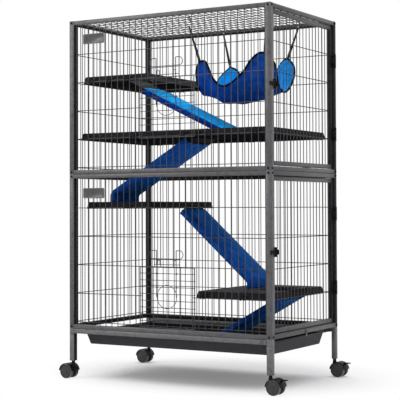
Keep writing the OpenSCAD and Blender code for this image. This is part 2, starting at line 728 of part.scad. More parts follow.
// the sliding latch: two legs, a finger loop at each side and a wire that joins them
module small_latch(lift) {
  d = latch_wire;
  y = latch_plane;
  top = ring_z + lift + leg_h;
  for (side = [-1, 1]) {
    x = small_door_x + side * leg_spread;
    translate([x, y, ring_z + lift]) cylinder(d = d, h = leg_h, $fn = 24);
    bend = loop_h / 2;
    x_in = min(x, x + side * (loop_w - bend));
    x_out = max(x, x + side * (loop_w - bend));
    for (z = [top, top - loop_h]) wire_x(x_in, x_out, y, z, d - 0.2);
    wire_arc(x + side * (loop_w - bend), y, top - bend, bend,
      side > 0 ? -90 : 90, side > 0 ? 90 : 270, d - 0.2);
  }
  wire_x(small_door_x - leg_spread, small_door_x + leg_spread, y, top - loop_h, d - 0.2);
}

lower_hinge_z = row_z(lower_z, lower_door_row) - hinge_drop;
upper_hinge_z = row_z(upper_z, upper_door_row) - hinge_drop;
module lower_small_door() { color(black_wire) corner() translate([0, 0, lower_hinge_z]) small_door(0); }
module lower_small_latch() { color(black_wire) corner() translate([0, 0, lower_hinge_z]) small_latch(0); }
module upper_small_door() {
  color(black_wire) corner() translate([0, 0, upper_hinge_z]) small_door(upper_lift);
}
module upper_small_latch() {
  color(black_wire) corner() translate([0, 0, upper_hinge_z]) small_latch(upper_lift);
}

// --- litter tray ----------------------------------------------------------------------------------

lip_t = 2.5;
lip_z = stand_h - rail + run;                        // the rim rests on the stand's flanges
tray_rim_top = lip_z + 4.7;
tray_y0 = max(front_post, rear_post) + 0.6;
tray_floor = stand_h - rail - tray_drop;
tray_x0 = tray_left;
tray_x1 = cage_w - tray_right;

module round_slab(x0, x1, y0, y1, z, h, r)
  hull() for (x = [x0 + r, x1 - r], y = [y0 + r, y1 - r])
    translate([x, y, z]) cylinder(r = r, h = h, $fn = 24);

// a dished box: slabs that shrink downwards, hulled together
module dish(grow, z_low) {
  y_in = flange_reach + 0.8 - tray_y0;
  hull() {
    translate([tray_x0 + y_in - grow, tray_y0 + y_in - grow, lip_z + lip_t - 0.1])
      cube([tray_x1 - tray_x0 - 2 * (y_in - grow),
        cage_d - 2 * tray_y0 - tray_back - 2 * (y_in - grow), 0.1]);
    for (x = [tray_x0 + y_in + tray_lean + 14, tray_x1 - y_in - tray_lean - 14])
      for (y = [tray_y0 + y_in + tray_lean + 14, cage_d - tray_y0 - tray_back - y_in - tray_lean - 14])
        translate([x, y, z_low]) cylinder(r = 14 + grow, h = 0.1, $fn = 24);
  }
}

module litter_tray() {
  color(shelf_black) corner() difference() {
    union() {
      dish(0, tray_floor);
      translate([tray_x0, tray_y0, lip_z]) cube([tray_x1 - tray_x0, cage_d - 2 * tray_y0, lip_t]);
      for (x = [tray_x0, tray_x1 - 2.5])
        translate([x, tray_y0, lip_z]) cube([2.5, cage_d - 2 * tray_y0, tray_rim_top - lip_z]);
    }
    dish(-tray_wall, tray_floor + tray_wall);
    translate([0, 0, 0.3]) dish(-tray_wall, lip_z - 1);
  }
}

// a small turning tab on the side rail, over the tray's end
module tray_catch() {
  color(steel) corner() translate([cage_w + 0.3, catch_y, catch_pin_z]) rotate([90, 0, 90])
    difference() {
      union() {
        cylinder(d = 12, h = 2.8, $fn = 32);
        translate([-3.5, -(catch_pin_z - tray_rim_top - 1), 0])
          cube([7, catch_pin_z - tray_rim_top - 1, 2.8]);
      }
      translate([0, 0, -1]) cylinder(d = catch_pin_d + 2 * fit, h = 6, $fn = 32);
    }
}

// --- shelves -------------------------------------------------------------------------------------------

shelf_sink = 3;                                      // the rim's foot lies this far below its row
function shelf_top(row) = row - shelf_sink + shelf_h;

module shelf_shape(x0, x1, y0, y1, row, inset, drop) {
  f = shelf_flare;
  hull() {
    round_slab(x0 - f + inset, x1 + f - inset, y0 - f + inset, y1 + f - inset,
      row - shelf_sink - drop, 0.1, 13);
    round_slab(x0 + inset, x1 - inset, y0 + inset, y1 - inset, shelf_top(row) - drop - 2.6, 0.1, 9);
    round_slab(x0 + inset + 2, x1 - inset - 2, y0 + inset + 2, y1 - inset - 2,
      shelf_top(row) - drop - 0.1, 0.1, 8);
  }
}

// a shelf: a shallow upturned tray with ribs, hooked on level wires at the front and the rear;
// hole is the ramp's opening as [x0, x1, y0, y1], or empty
module shelf(x0, x1, y0, y1, row, hooks, hole) {
  top = shelf_top(row);
  rib_h = 9;
  difference() {
    union() {
      difference() {
        shelf_shape(x0, x1, y0, y1, row, 0, 0);
        shelf_shape(x0, x1, y0, y1, row, shelf_wall, shelf_wall);
      }
      for (k = [1 : 4]) {
        y = y0 + k * (y1 - y0) / 5;
        translate([x0, y - 1.2, top - shelf_wall - rib_h]) cube([x1 - x0, 2.4, rib_h + 1]);
      }
      if (len(hole) > 0) translate([hole[0] - 3, hole[2] - 3, top - shelf_wall - rib_h])
        cube([hole[1] - hole[0] + 6, hole[3] - hole[2] + 6, rib_h + 1]);
      for (x = hooks) {
        shelf_hook(x, y0 - shelf_flare + 2, row);
        translate([0, cage_d, 0]) mirror([0, 1, 0]) shelf_hook(x, cage_d - y1 - shelf_flare + 2, row);
      }
    }
    if (len(hole) > 0)
      translate([hole[0], hole[2], top - 40]) cube([hole[1] - hole[0], hole[3] - hole[2], 60]);
    for (x = hooks, side = [-1, 1])
      translate([x + side * 6 - 2.5, y0 - shelf_flare - 1, row + 6]) cube([5, shelf_flare + 5, 6]);
  }
}

// a pair of lugs that reach from the rim over the level wire
module shelf_hook(x, y_rim, row) {
  y_wire = row_in - wire_d / 2;
  for (side = [-1, 1]) translate([x + side * 6 - 2.5, 0, row]) {
    translate([0, y_wire - 2.8, wire_d / 2 + run]) cube([5, y_rim - y_wire + 2.8, 3]);
    translate([0, y_wire - 2.8, -3]) cube([5, 2.5, 3 + wire_d / 2 + run + 3]);
  }
}

function mid_pitch(x) = (floor(x / wire_pitch) + 0.5) * wire_pitch;
hook_step = 6 * wire_pitch;

top_row = row_z(upper_z, 3);
full_row = row_z(upper_z, 1);
left_row = row_z(lower_z, 4);
right_row = row_z(lower_z, 1);

half_y1 = cage_d - half_rear;
full_y1 = cage_d - full_rear;

top_shelf_x = 40;
left_shelf_x = 53;
right_shelf_x = cage_w - right_shelf_gap - half_w;
full_x0 = 28;
full_x1 = cage_w - 30;

// --- ramps: where each one starts and ends; s is +1 where it runs down to the right ------------

board_t = ramp_t - 2 * cloth_t - 2 * run;

// outline of a slab whose top edge runs from head to foot; lip is how far its foot turns down,
// and r the radius of the bend above it
function slab(head, foot, t, lip, r) = let (
    s = foot[0] > head[0] ? 1 : -1,
    a = slope(head, foot, lip),
    under = head[1] - t / cos(a),
    xe = head[0] + s * (under - foot[1]) / tan(a),
    middle = [foot[0] - s * r, foot[1] + lip - r * tan((90 - a) / 2)],
    turns = [for (k = [0 : 7]) a + k * (90 - a) / 7])
  lip > 0
    ? concat([head], [for (w = turns) middle + r * [s * sin(w), cos(w)]],
        [foot, [foot[0] - s * t, foot[1]]],
        [for (k = [7 : -1 : 0]) middle + (r - t) * [s * sin(turns[k]), cos(turns[k])]],
        [[head[0], under]])
    : [head, foot, [xe, foot[1]], [head[0], under]];

function slope(head, foot, lip) = atan2(head[1] - foot[1] - lip, abs(foot[0] - head[0]));

// the board: a slab inside the cover, with a hook over the edge that it hangs from
module board(head, foot, lip, y, hook) {
  by = cloth_t + run;
  s = foot[0] > head[0] ? 1 : -1;
  a = slope(head, foot, lip);
  drop = by / cos(a);
  inner_foot = [foot[0] - s * (lip > 0 ? by : drop / tan(a)), foot[1]];
  side_plate(y + by, y + ramp_w - by,
    slab([head[0], head[1] - drop], inner_foot, board_t, lip > 0 ? lip - drop + by * tan(a) : 0,
      ramp_bend - by));
  translate([0, y + by + 12, 0]) side_plate(0, ramp_w - 2 * by - 24, hook);
}

// the cover: a cloth sleeve from distance start below the head down to the foot
module cover(head, foot, lip, y, start) {
  s = foot[0] > head[0] ? 1 : -1;
  a = slope(head, foot, lip);
  by = cloth_t;
  first = [head[0] + s * start, head[1] - start * tan(a)];
  drop = by / cos(a);
  inner_foot = lip > 0 ? [foot[0] - s * by, foot[1] - 5] : [foot[0] + s * 5, foot[1] - 5 * tan(a) - drop];
  inner_lip = lip > 0 ? lip + 5 - drop + by * tan(a) : 0;
  inner_head = [first[0] - s * 5, first[1] + 5 * tan(a) - drop];
  difference() {
    side_plate(y, y + ramp_w, slab(first, foot, ramp_t, lip, ramp_bend));
    side_plate(y + by, y + ramp_w - by,
      slab(inner_head, inner_foot, ramp_t - 2 * cloth_t, inner_lip, ramp_bend - by));
  }
}

// top ramp: from the top shelf's opening down to the full shelf
top_ramp_y = 170 - ramp_w / 2;
top_slope = 25.7;
top_head = [166, shelf_top(top_row) - 1];
top_foot_z = shelf_top(full_row) + run;
top_foot = [top_head[0] + (top_head[1] - top_foot_z) / tan(top_slope), top_foot_z];
top_hole = [164, 290, top_ramp_y - 5, top_ramp_y + ramp_w + 5];
function head_hook(head, s, level) = [
  [head[0] + s * 2, level + run + 3], [head[0] - s * hook_l, level + run + 3],
  [head[0] - s * hook_l, level + run], [head[0] + s * 0.1, level + run],
  [head[0] + s * 0.1, level - 8], [head[0] + s * 5, level - 10]
];

// middle ramp: from the full shelf's opening down to the left shelf
middle_ramp_y = 170 - ramp_w / 2;
middle_head = [458, shelf_top(full_row) - 1];
middle_foot = [109, shelf_top(left_row) + run];
middle_lip = 35;
middle_hole = [338, 460, middle_ramp_y - 5, middle_ramp_y + ramp_w + 5];

// inner ramp: from the left shelf's right rim down to the right shelf
inner_ramp_y = 328 - ramp_w / 2;
left_rim_x = left_shelf_x + half_w + shelf_flare;
inner_head = [left_rim_x - 8, left_row - shelf_sink - run];
inner_foot = [598, shelf_top(right_row) + run];
inner_lip = 28;
peg_w = 9;                                           // pegs that hang it from slots in the shelf's rim
peg_h = 5;
peg_z = left_row - shelf_sink + 4 + run;
peg_middles = [inner_ramp_y + 30, inner_ramp_y + ramp_w - 30];

// low ramp: from the right shelf's opening down to the tray's floor
low_ramp_y = 267 - ramp_w / 2;
low_head = [757, shelf_top(right_row) - 1];
low_slope = 29.7;
low_foot_z = tray_floor + tray_wall + 0.5;
low_foot = [low_head[0] - (low_head[1] - low_foot_z) / tan(low_slope), low_foot_z];
low_hole = [640, 759, low_ramp_y - 5, low_ramp_y + ramp_w + 5];

module top_shelf() {
  x0 = top_shelf_x;
  color(shelf_black) corner() shelf(x0, x0 + half_w, shelf_front, half_y1, top_row,
    [for (k = [0 : 2]) mid_pitch(x0 + 45 + k * hook_step / 2)], top_hole);
}
module full_shelf() {
  color(shelf_black) corner() shelf(full_x0, full_x1, shelf_front, full_y1, full_row,
    [for (x = [60, 260, 460, 510, 560, full_x1 - 32]) mid_pitch(x)], middle_hole);
}
module left_shelf() {
  x0 = left_shelf_x;
  color(shelf_black) corner() difference() {
    shelf(x0, x0 + half_w, shelf_front, half_y1, left_row,
      [for (k = [0 : 1]) mid_pitch(x0 + 34 + k * hook_step)], []);
    for (y = peg_middles) translate([left_rim_x - 7, y - peg_w / 2 - run, peg_z - run])
      cube([10, peg_w + 2 * run, peg_h + 2 * run]);
  }
}
module right_shelf() {
  x0 = right_shelf_x;
  color(shelf_black) corner() shelf(x0, x0 + half_w, shelf_front, half_y1, right_row,
    [for (k = [0 : 1]) mid_pitch(x0 + 30 + k * hook_step)], low_hole);
}

module top_ramp_board() {
  color(shelf_black) corner()
    board(top_head, top_foot, 0, top_ramp_y, head_hook(top_head, 1, shelf_top(top_row)));
}
module middle_ramp_board() {
  color(shelf_black) corner()
    board(middle_head, middle_foot, middle_lip, middle_ramp_y,
      head_hook(middle_head, -1, shelf_top(full_row)));
}
module inner_ramp_board() {
  x = inner_head[0];
  z = inner_head[1];
  color(shelf_black) corner() {
    board(inner_head, inner_foot, inner_lip, inner_ramp_y,
      [[x + 0.5, z - 18], [x + 0.5, z + 11], [x - 3.5, z + 11], [x - 3.5, z - 18]]);
    for (y = peg_middles)
      translate([x - 1, y - peg_w / 2, peg_z]) cube([left_rim_x - 1.5 - x, peg_w, peg_h]);
  }
}
module low_ramp_board() {
  color(shelf_black) corner()
    board(low_head, low_foot, 0, low_ramp_y, head_hook(low_head, -1, shelf_top(right_row)));
}

module top_ramp_cover() { color(cover_blue) corner() cover(top_head, top_foot, 0, top_ramp_y, 90); }
module middle_ramp_cover() {
  color(cover_blue) corner() cover(middle_head, middle_foot, middle_lip, middle_ramp_y, 14);
}
module inner_ramp_cover() {
  color(cover_blue) corner() cover(inner_head, inner_foot, inner_lip, inner_ramp_y, 1);
}
module low_ramp_cover() { color(cover_blue) corner() cover(low_head, low_foot, 0, low_ramp_y, 14); }

// --- hammock -----------------------------------------------------------------------------------------------

hammock_x = 582;                                     // middle of the hammock
hammock_y = 238;
corner_z = 1108;
strap_x = [425, 725];                                // roof wires that the four straps hang from
strap_y = [118, 360];
left_low = -8;                                       // the left corners hang a little lower
right_high = 8;

// height of the edge at share u of the width, dipping between the corners by dip
function edge_z(u, dip) =
  corner_z + left_low + (right_high - left_low) * u - dip * pow(sin(180 * pow(u, 0.85)), 1.3);
function floor_z(u) = corner_z - hammock_sag + 22 * pow(abs(2 * u - 1), 2.5);

// a point of the cloth: u from left to right, v from the front edge round to the rear edge
function cloth(u, v, inner) = let (
    th = inner * hammock_t,
    girth = sin(180 * v),
    spread = hammock_w + 44 * girth,
    top = edge_z(u, v < 0.5 ? 94 : 80),
    low = floor_z(u) + th)
  [hammock_x + (u - 0.5) * spread + 6 * girth,
   hammock_y - (hammock_d / 2 + 6 * girth - th) * cos(180 * v),
   low + (top - low) * pow(1 - girth, 1.15)];

cloth_u = 16;
cloth_v = 18;
function cloth_points() = [
  for (inner = [0, 1]) for (i = [0 : cloth_u]) for (j = [0 : cloth_v]) cloth(i / cloth_u, j / cloth_v, inner)
];
function spot(inner, i, j) = inner * (cloth_u + 1) * (cloth_v + 1) + i * (cloth_v + 1) + j;
function quad(a, b, c, d) = [[a, b, c], [a, c, d]];
function cloth_faces() = [
  for (i = [0 : cloth_u - 1]) for (j = [0 : cloth_v - 1])
    for (f = quad(spot(0, i, j), spot(0, i + 1, j), spot(0, i + 1, j + 1), spot(0, i, j + 1))) f,
  for (i = [0 : cloth_u - 1]) for (j = [0 : cloth_v - 1])
    for (f = quad(spot(1, i, j), spot(1, i, j + 1), spot(1, i + 1, j + 1), spot(1, i + 1, j))) f,
  for (i = [0 : cloth_u - 1])
    for (f = quad(spot(0, i, 0), spot(1, i, 0), spot(1, i + 1, 0), spot(0, i + 1, 0))) f,
  for (i = [0 : cloth_u - 1])
    for (f = quad(spot(0, i, cloth_v), spot(0, i + 1, cloth_v),
                  spot(1, i + 1, cloth_v), spot(1, i, cloth_v))) f,
  for (j = [0 : cloth_v - 1])
    for (f = quad(spot(0, 0, j), spot(0, 0, j + 1), spot(1, 0, j + 1), spot(1, 0, j))) f,
  for (j = [0 : cloth_v - 1])
    for (f = quad(spot(0, cloth_u, j), spot(1, cloth_u, j),
                  spot(1, cloth_u, j + 1), spot(0, cloth_u, j + 1))) f
];

module hammock() { color(cover_blue) corner() polyhedron(cloth_points(), cloth_faces()); }

link_h = 26;
link_w = 11;
link_t = 2.6;
link_top = roof_z + wire_d / 2 + run + link_t;

// corner of the cloth and lower end of the snap hook that belongs to it
function cloth_corner(i, j) = cloth(i, j, 0.5);
function link_foot(i, j) = [strap_x[i], strap_y[j], link_top - link_h];

module strap(p, q) {
  v = q - p;
  l = norm(v);
  translate(p) rotate([0, acos(v[2] / l), atan2(v[1], v[0])])
    translate([-1, -strap_w / 2, 0.6]) cube([2, strap_w, l - 1.2]);
}

module hammock_straps() {
  color(black_plastic) corner()
    for (i = [0, 1], j = [0, 1]) strap(cloth_corner(i, j) + [0, 0, 0.6], link_foot(i, j));
}

// a flat oval link over the roof wire
module snap_hook() rotate([90, 0, 0]) translate([0, 0, -link_t / 2]) linear_extrude(link_t) difference() {
  union() {
    for (z = [link_w / 2, link_h - link_w / 2]) translate([0, z]) circle(d = link_w, $fn = 32);
    translate([-link_w / 2, link_w / 2]) square([link_w, link_h - link_w]);
  }
  for (z = [link_w / 2, link_h - link_w / 2]) translate([0, z]) circle(d = link_w - 2 * link_t, $fn = 32);
  translate([link_t - link_w / 2, link_w / 2]) square([link_w - 2 * link_t, link_h - link_w]);
}

module snap_hooks() {
  color(steel) corner() for (i = [0, 1], j = [0, 1]) translate(link_foot(i, j)) snap_hook();
}

stand_front();
stand_rear();
caster_stems();
caster_hood_front_left();
caster_hood_front_right();
caster_hood_rear_left();
caster_hood_rear_right();
caster_wheels_front_left();
caster_wheels_front_right();
caster_wheels_rear_left();
caster_wheels_rear_right();
brake_pedal_front_right();
brake_pedal_rear_right();
lower_front_frame();
lower_rear_frame();
lower_left_frame();
lower_right_rails();
upper_front_frame();
upper_rear_frame();
upper_left_frame();
upper_right_rails();
lower_front_wires();
lower_rear_wires();
lower_left_wires();
upper_front_wires();
upper_rear_wires();
upper_left_wires();
roof_grid();
frame_bolts();
name_plates();
litter_tray();
tray_catch();
top_shelf();
full_shelf();
left_shelf();
right_shelf();
top_ramp_board();
middle_ramp_board();
inner_ramp_board();
low_ramp_board();
top_ramp_cover();
middle_ramp_cover();
inner_ramp_cover();
low_ramp_cover();
hammock();
hammock_straps();
snap_hooks();
post_hinge_leaves();
lower_door_frame();
lower_door_wires();
lower_door_fittings();
lower_door_latch();
upper_door_frame();
upper_door_wires();
upper_door_fittings();
upper_door_latch();
lower_small_door();
lower_small_latch();
upper_small_door();
upper_small_latch();
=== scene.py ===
import math

import bmesh
import bpy
from mathutils import Matrix, Vector, noise


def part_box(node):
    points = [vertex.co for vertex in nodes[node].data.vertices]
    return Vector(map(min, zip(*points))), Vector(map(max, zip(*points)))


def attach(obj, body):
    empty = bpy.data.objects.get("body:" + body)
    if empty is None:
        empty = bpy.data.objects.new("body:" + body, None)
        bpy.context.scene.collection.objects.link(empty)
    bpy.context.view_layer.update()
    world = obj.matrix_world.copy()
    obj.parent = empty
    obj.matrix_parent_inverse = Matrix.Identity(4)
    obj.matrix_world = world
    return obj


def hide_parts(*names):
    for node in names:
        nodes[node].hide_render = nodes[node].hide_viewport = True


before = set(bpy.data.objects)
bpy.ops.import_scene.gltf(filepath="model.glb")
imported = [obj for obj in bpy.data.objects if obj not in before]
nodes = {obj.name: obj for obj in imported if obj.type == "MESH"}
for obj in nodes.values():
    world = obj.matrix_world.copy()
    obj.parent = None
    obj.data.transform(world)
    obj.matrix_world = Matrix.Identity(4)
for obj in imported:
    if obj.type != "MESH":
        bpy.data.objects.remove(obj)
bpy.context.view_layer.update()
scene = bpy.context.scene
scene.view_settings.view_transform = "Standard"

# The cage stands on the floor, and its front left post is the corner that every place is measured from.
# Places are in metres from that corner: to the right, to the rear and up from the floor.
cage_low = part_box("lower_front_frame")[0]
corner = Vector((cage_low[0], cage_low[1], 0.0))


def place(x, y, z):
    return corner + Vector((x, y, z))


# The camera stands to the right of the front, at the height of the storeys' joint.
# A long lens from about four metres keeps the posts almost upright.
picture_width = 400
lens_in_pixels = 1218.5
film_width = 36.0
yaw, pitch, roll = math.radians(30.71), math.radians(1.43), math.radians(-0.19)
sight = Vector((-math.sin(yaw) * math.cos(pitch), math.cos(yaw) * math.cos(pitch), math.sin(pitch)))
level = Vector((math.cos(yaw), math.sin(yaw), 0.0))
above = level.cross(sight)
across = math.cos(roll) * level + math.sin(roll) * above
upward = -math.sin(roll) * level + math.cos(roll) * above
turn = Matrix((across, upward, -sight)).transposed().to_4x4()
camera_data = bpy.data.cameras.new("camera")
camera_data.sensor_width = film_width
camera_data.lens = lens_in_pixels / picture_width * film_width
camera_data.shift_x = 0.00875
camera_data.shift_y = -0.0575
camera_data.clip_end = 50.0
camera = bpy.data.objects.new("camera", camera_data)
bpy.context.collection.objects.link(camera)
camera.matrix_world = Matrix.Translation(place(2.5850, -3.4719, 0.5995)) @ turn
scene.camera = camera

# The studio is a white room. Its walls give a soft fill from all round, and they are plain white where
# they are seen straight on, in gloss or through glass.
white = (1.0, 1.0, 1.0, 1.0)
wall_fill, wall_seen = 0.46, 1.0


def add_node(tree, kind, inputs, **settings):
    """A shader node with its settings made and each input given a value or joined to a socket."""
    made = tree.nodes.new("ShaderNode" + kind)
    for name, value in settings.items():
        setattr(made, name, value)
    for name, value in inputs.items():
        if isinstance(value, bpy.types.NodeSocket):
            tree.links.new(value, made.inputs[name])
        else:
            made.inputs[name].default_value = value
    return made


def looked_at(tree):
    """1 where a surface is seen straight on, in gloss or through glass, and 0 where it only gives light."""
    path = add_node(tree, "LightPath", {})
    seen = path.outputs["Is Camera Ray"]
    for ray in ("Is Glossy Ray", "Is Transmission Ray"):
        seen = add_node(tree, "Math", {0: seen, 1: path.outputs[ray]}, operation="MAXIMUM").outputs[0]
    return seen


world = bpy.data.worlds.new("white_room")
world.use_nodes = True
scene.world = world
tree = world.node_tree
tree.nodes.clear()
fill = add_node(tree, "Background", {"Color": white, "Strength": wall_fill})
wall = add_node(tree, "Background", {"Color": white, "Strength": wall_seen})
room = add_node(tree, "MixShader", {0: looked_at(tree), 1: fill.outputs[0], 2: wall.outputs[0]})
add_node(tree, "OutputWorld", {"Surface": room.outputs[0]})

# The floor is matt and near white. It is darker where it is looked at, so that the shade under the cage
# shows, and it fades to plain white outside a rounded patch that lies under and behind the cage.
floor_size = 16.0
floor_white, floor_shade = (0.86, 0.86, 0.875, 1.0), (0.56, 0.56, 0.572, 1.0)
floor_lift = 0.18
patch_middle, patch_shape = (0.0, -0.13, 0.0), (0.75, 1.0, 1.0)
patch_inner, patch_outer = 0.26, 0.58


def fresh(add, **sizes):
    """A primitive added with nothing else selected, and with its size, turn and place in its mesh."""
    bpy.ops.object.select_all(action="DESELECT")
    add(**sizes)
    bpy.ops.object.transform_apply(location=True, rotation=True, scale=True)
    return bpy.context.object


floor = fresh(bpy.ops.mesh.primitive_plane_add, size=floor_size, location=(0.0, 0.0, 0.0))
floor.name = "studio_floor"
floor_paint = bpy.data.materials.new("floor_paint")
floor_paint.use_nodes = True
tree = floor_paint.node_tree
tree.nodes.clear()
seen = looked_at(tree)
tone = add_node(tree, "Mix", {"Factor": seen, "A": floor_white, "B": floor_shade}, data_type="RGBA")
matt = add_node(tree, "BsdfDiffuse", {"Color": tone.outputs["Result"]})
lift = add_node(tree, "Math", {0: seen, 1: floor_lift}, operation="MULTIPLY")
glow = add_node(tree, "Emission", {"Color": white, "Strength": lift.outputs[0]})
lifted = add_node(tree, "AddShader", {0: matt.outputs[0], 1: glow.outputs[0]})
where = add_node(tree, "TexCoord", {})
patch = add_node(tree, "Mapping", {"Vector": where.outputs["Object"], "Location": patch_middle,
                                   "Scale": patch_shape})
reach = add_node(tree, "VectorMath", {0: patch.outputs["Vector"]}, operation="LENGTH")
fade = add_node(tree, "MapRange", {"Value": reach.outputs["Value"], "From Min": patch_inner,
                                   "From Max": patch_outer}, interpolation_type="SMOOTHSTEP")
share = add_node(tree, "Math", {0: seen, 1: fade.outputs[0]}, operation="MULTIPLY")
plain = add_node(tree, "Emission", {"Color": white})
blend = add_node(tree, "MixShader", {0: share.outputs[0], 1: lifted.outputs[0], 2: plain.outputs[0]})
add_node(tree, "OutputMaterial", {"Surface": blend.outputs[0]})
floor.data.materials.append(floor_paint)

# Three square soft lights: a broad one overhead for the soft shade on the floor, one from the front left
# for the fronts of the tubes, and a weak one from the right for the side doors. Sizes are in metres.
for name, spot, aim, size, watts in (
    ("top_light", (0.4, 0.35, 3.0), (0.4, 0.30, 0.5), 4.6, 172.0),
    ("left_light", (-2.2, -2.4, 2.0), (0.3, 0.2, 0.6), 1.8, 46.0),
    ("right_light", (3.2, -1.2, 1.6), (0.5, 0.2, 0.6), 1.6, 12.0),
):
    light_data = bpy.data.lights.new(name, "AREA")
    light_data.shape = "SQUARE"
    light_data.size = size
    light_data.energy = watts
    light = bpy.data.objects.new(name, light_data)
    bpy.context.collection.objects.link(light)
    light.location = place(*spot)
    light.rotation_euler = (place(*aim) - place(*spot)).to_track_quat("-Z", "Y").to_euler()

# The frames are square steel tubes, bolted together at the posts and sprayed with graphite hammertone
# paint. The paint dries in small round dimples, a little lighter on their rims.
tube_edge = 0.0016
tube_width = 0.020
tube_dimples = 420.0
dimple_rise = 0.0006
dimples = bpy.data.node_groups.new("paint_dimples", "ShaderNodeTree")
dimples.interface.new_socket("Scale", in_out="INPUT", socket_type="NodeSocketFloat")
dimples.interface.new_socket("Height", in_out="OUTPUT", socket_type="NodeSocketFloat")
dimples.interface.new_socket("Tint", in_out="OUTPUT", socket_type="NodeSocketFloat")
group_in = dimples.nodes.new("NodeGroupInput")
group_out = dimples.nodes.new("NodeGroupOutput")
where = add_node(dimples, "TexCoord", {}).outputs["Object"]
cells = add_node(dimples, "TexVoronoi", {"Vector": where, "Scale": group_in.outputs["Scale"],
                                         "Smoothness": 0.6}, feature="SMOOTH_F1").outputs["Distance"]
drift = add_node(dimples, "TexNoise", {"Vector": where, "Scale": 60.0, "Detail": 4.0}).outputs["Fac"]
rims = add_node(dimples, "Math", {0: cells, 1: drift}, operation="ADD")
dimples.links.new(cells, group_out.inputs["Height"])
dimples.links.new(rims.outputs[0], group_out.inputs["Tint"])


def painted(name, dark, light, scale, roughness, metallic, depth, gloss=0.5):
    """A dimpled coat, dark in the dimples and light on their rims. Scale is the dimples in a metre, depth
    how sharp they are, and gloss how strongly the coat mirrors."""
    paint = bpy.data.materials.new(name)
    paint.use_nodes = True
    tree = paint.node_tree
    skin = tree.nodes["Principled BSDF"]
    skin.inputs["Roughness"].default_value = roughness
    skin.inputs["Metallic"].default_value = metallic
    skin.inputs["Specular IOR Level"].default_value = gloss
    grain = add_node(tree, "Group", {"Scale": scale}, node_tree=dimples)
    tint = add_node(tree, "ValToRGB", {"Fac": grain.outputs["Tint"]})
    tint.color_ramp.elements[0].position = 0.55
    tint.color_ramp.elements[0].color = (*dark, 1.0)
    tint.color_ramp.elements[1].color = (*light, 1.0)
    bump = add_node(tree, "Bump", {"Strength": depth, "Distance": dimple_rise,
                                   "Height": grain.outputs["Height"]})
    tree.links.new(tint.outputs["Color"], skin.inputs["Base Color"])
    tree.links.new(bump.outputs["Normal"], skin.inputs["Normal"])
    return paint


def dress(material, *names):
    """Gives a finish to CAD nodes whose shape is right as it is."""
    for name in names:
        for s in nodes[name].material_slots:
            s.material = material


def select_only(piece):
    """Leaves this piece alone selected, and makes it the active one."""
    bpy.ops.object.select_all(action="DESELECT")
    piece.select_set(True)
    bpy.context.view_layer.objects.active = piece


def soften(node, body, material, width):
    """A finished copy of a part, with its doubles merged and its sharp edges rounded off."""
    data = nodes[node].data.copy()
    data.name = node + "_finished"
    piece = bpy.data.objects.new(node + "_finished", data)
    bpy.context.collection.objects.link(piece)
    select_only(piece)
    bpy.ops.object.mode_set(mode="EDIT")
    bpy.ops.mesh.select_all(action="SELECT")
    bpy.ops.mesh.remove_doubles(threshold=0.00001)
    bpy.ops.mesh.dissolve_limited(angle_limit=math.radians(0.5))
    bpy.ops.object.mode_set(mode="OBJECT")
    edges = piece.modifiers.new("edges", "BEVEL")
    edges.width = width
    edges.segments = 2
    edges.limit_method = "ANGLE"
    edges.angle_limit = math.radians(40)
    bpy.ops.object.modifier_apply(modifier="edges")
    bpy.ops.object.shade_smooth_by_angle(angle=math.radians(42))
    piece.data.materials.clear()
    piece.data.materials.append(material)
    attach(piece, body)
    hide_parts(node)
    return piece


def recoat(piece, material, wanted):
    """Gives the wanted faces of a piece a second finish."""
    piece.data.materials.append(material)
    for polygon in piece.data.polygons:
        if wanted(polygon):
            polygon.material_index = 1


hammertone = painted("graphite_hammertone", (0.033, 0.032, 0.034), (0.096, 0.092, 0.096), tube_dimples,
                     0.36, 0.26, 0.35, 0.24)
# A darker copy of the hammertone is painted shade, for the right rails and side doors that face away from the
# lights.
side_shade_coat = painted("painted_side_shade_hammertone", (0.030, 0.029, 0.031), (0.082, 0.079, 0.083), tube_dimples,
                    0.38, 0.25, 0.35, 0.25)
# A near-black copy of the hammertone is painted shade: the rear and left frames wear it all over, the left
# posts and legs on their sides that face into the cage.
dark_shade_coat = painted("painted_shade_hammertone", (0.005, 0.005, 0.006), (0.020, 0.019, 0.021), tube_dimples,
                    0.50, 0.05, 0.35, 0.05)


def faces_inward(polygon):
    """True on the left posts' sides that face into the cage, which get the near-black painted shade."""
    return polygon.normal.x > 0.9 and polygon.center.x < corner.x + tube_width * 1.5


# the left posts' sides that face into the cage get the near-black painted shade
for name in ("lower_front_frame", "upper_front_frame"):
    recoat(soften(name, "cage", hammertone, tube_edge), dark_shade_coat, faces_inward)
# the right rails wear the darker painted shade of the side
for name in ("lower_right_rails", "upper_right_rails"):
    soften(name, "cage", side_shade_coat, tube_edge)
# the rear and left frames wear the near-black painted shade all over
for name in ("lower_rear_frame", "lower_left_frame", "upper_rear_frame", "upper_left_frame"):
    soften(name, "cage", dark_shade_coat, tube_edge)

# Each storey's right side is a door, welded from the same tube and hung on the rear post, in the right rails'
# darker coat of painted shade. The stile beside its hinges stands in that post's shade and gets the near-black
# painted shade.
hinge_side, stile_height = 0.40, 0.30


def is_hinge_stile(polygon):
    heights = [door.data.vertices[i].co.z for i in polygon.vertices]
    return polygon.center.y > corner.y + hinge_side and max(heights) - min(heights) > stile_height


for storey in ("lower", "upper"):
    door = soften(storey + "_door_frame", storey + "_side_door", side_shade_coat, tube_edge)
    recoat(door, dark_shade_coat, is_hinge_stile)

# The stand is four square legs on casters, with two long rails between them that carry the tray on a
# flange. It wears the hammertone painted a little paler, as painted light where the light meets it.
leg_edge = 0.0014
leg_light_coat = painted("leg_hammertone_painted_light", (0.047, 0.045, 0.048), (0.138, 0.133, 0.137), tube_dimples,
                   0.36, 0.28, 0.35, 0.26)
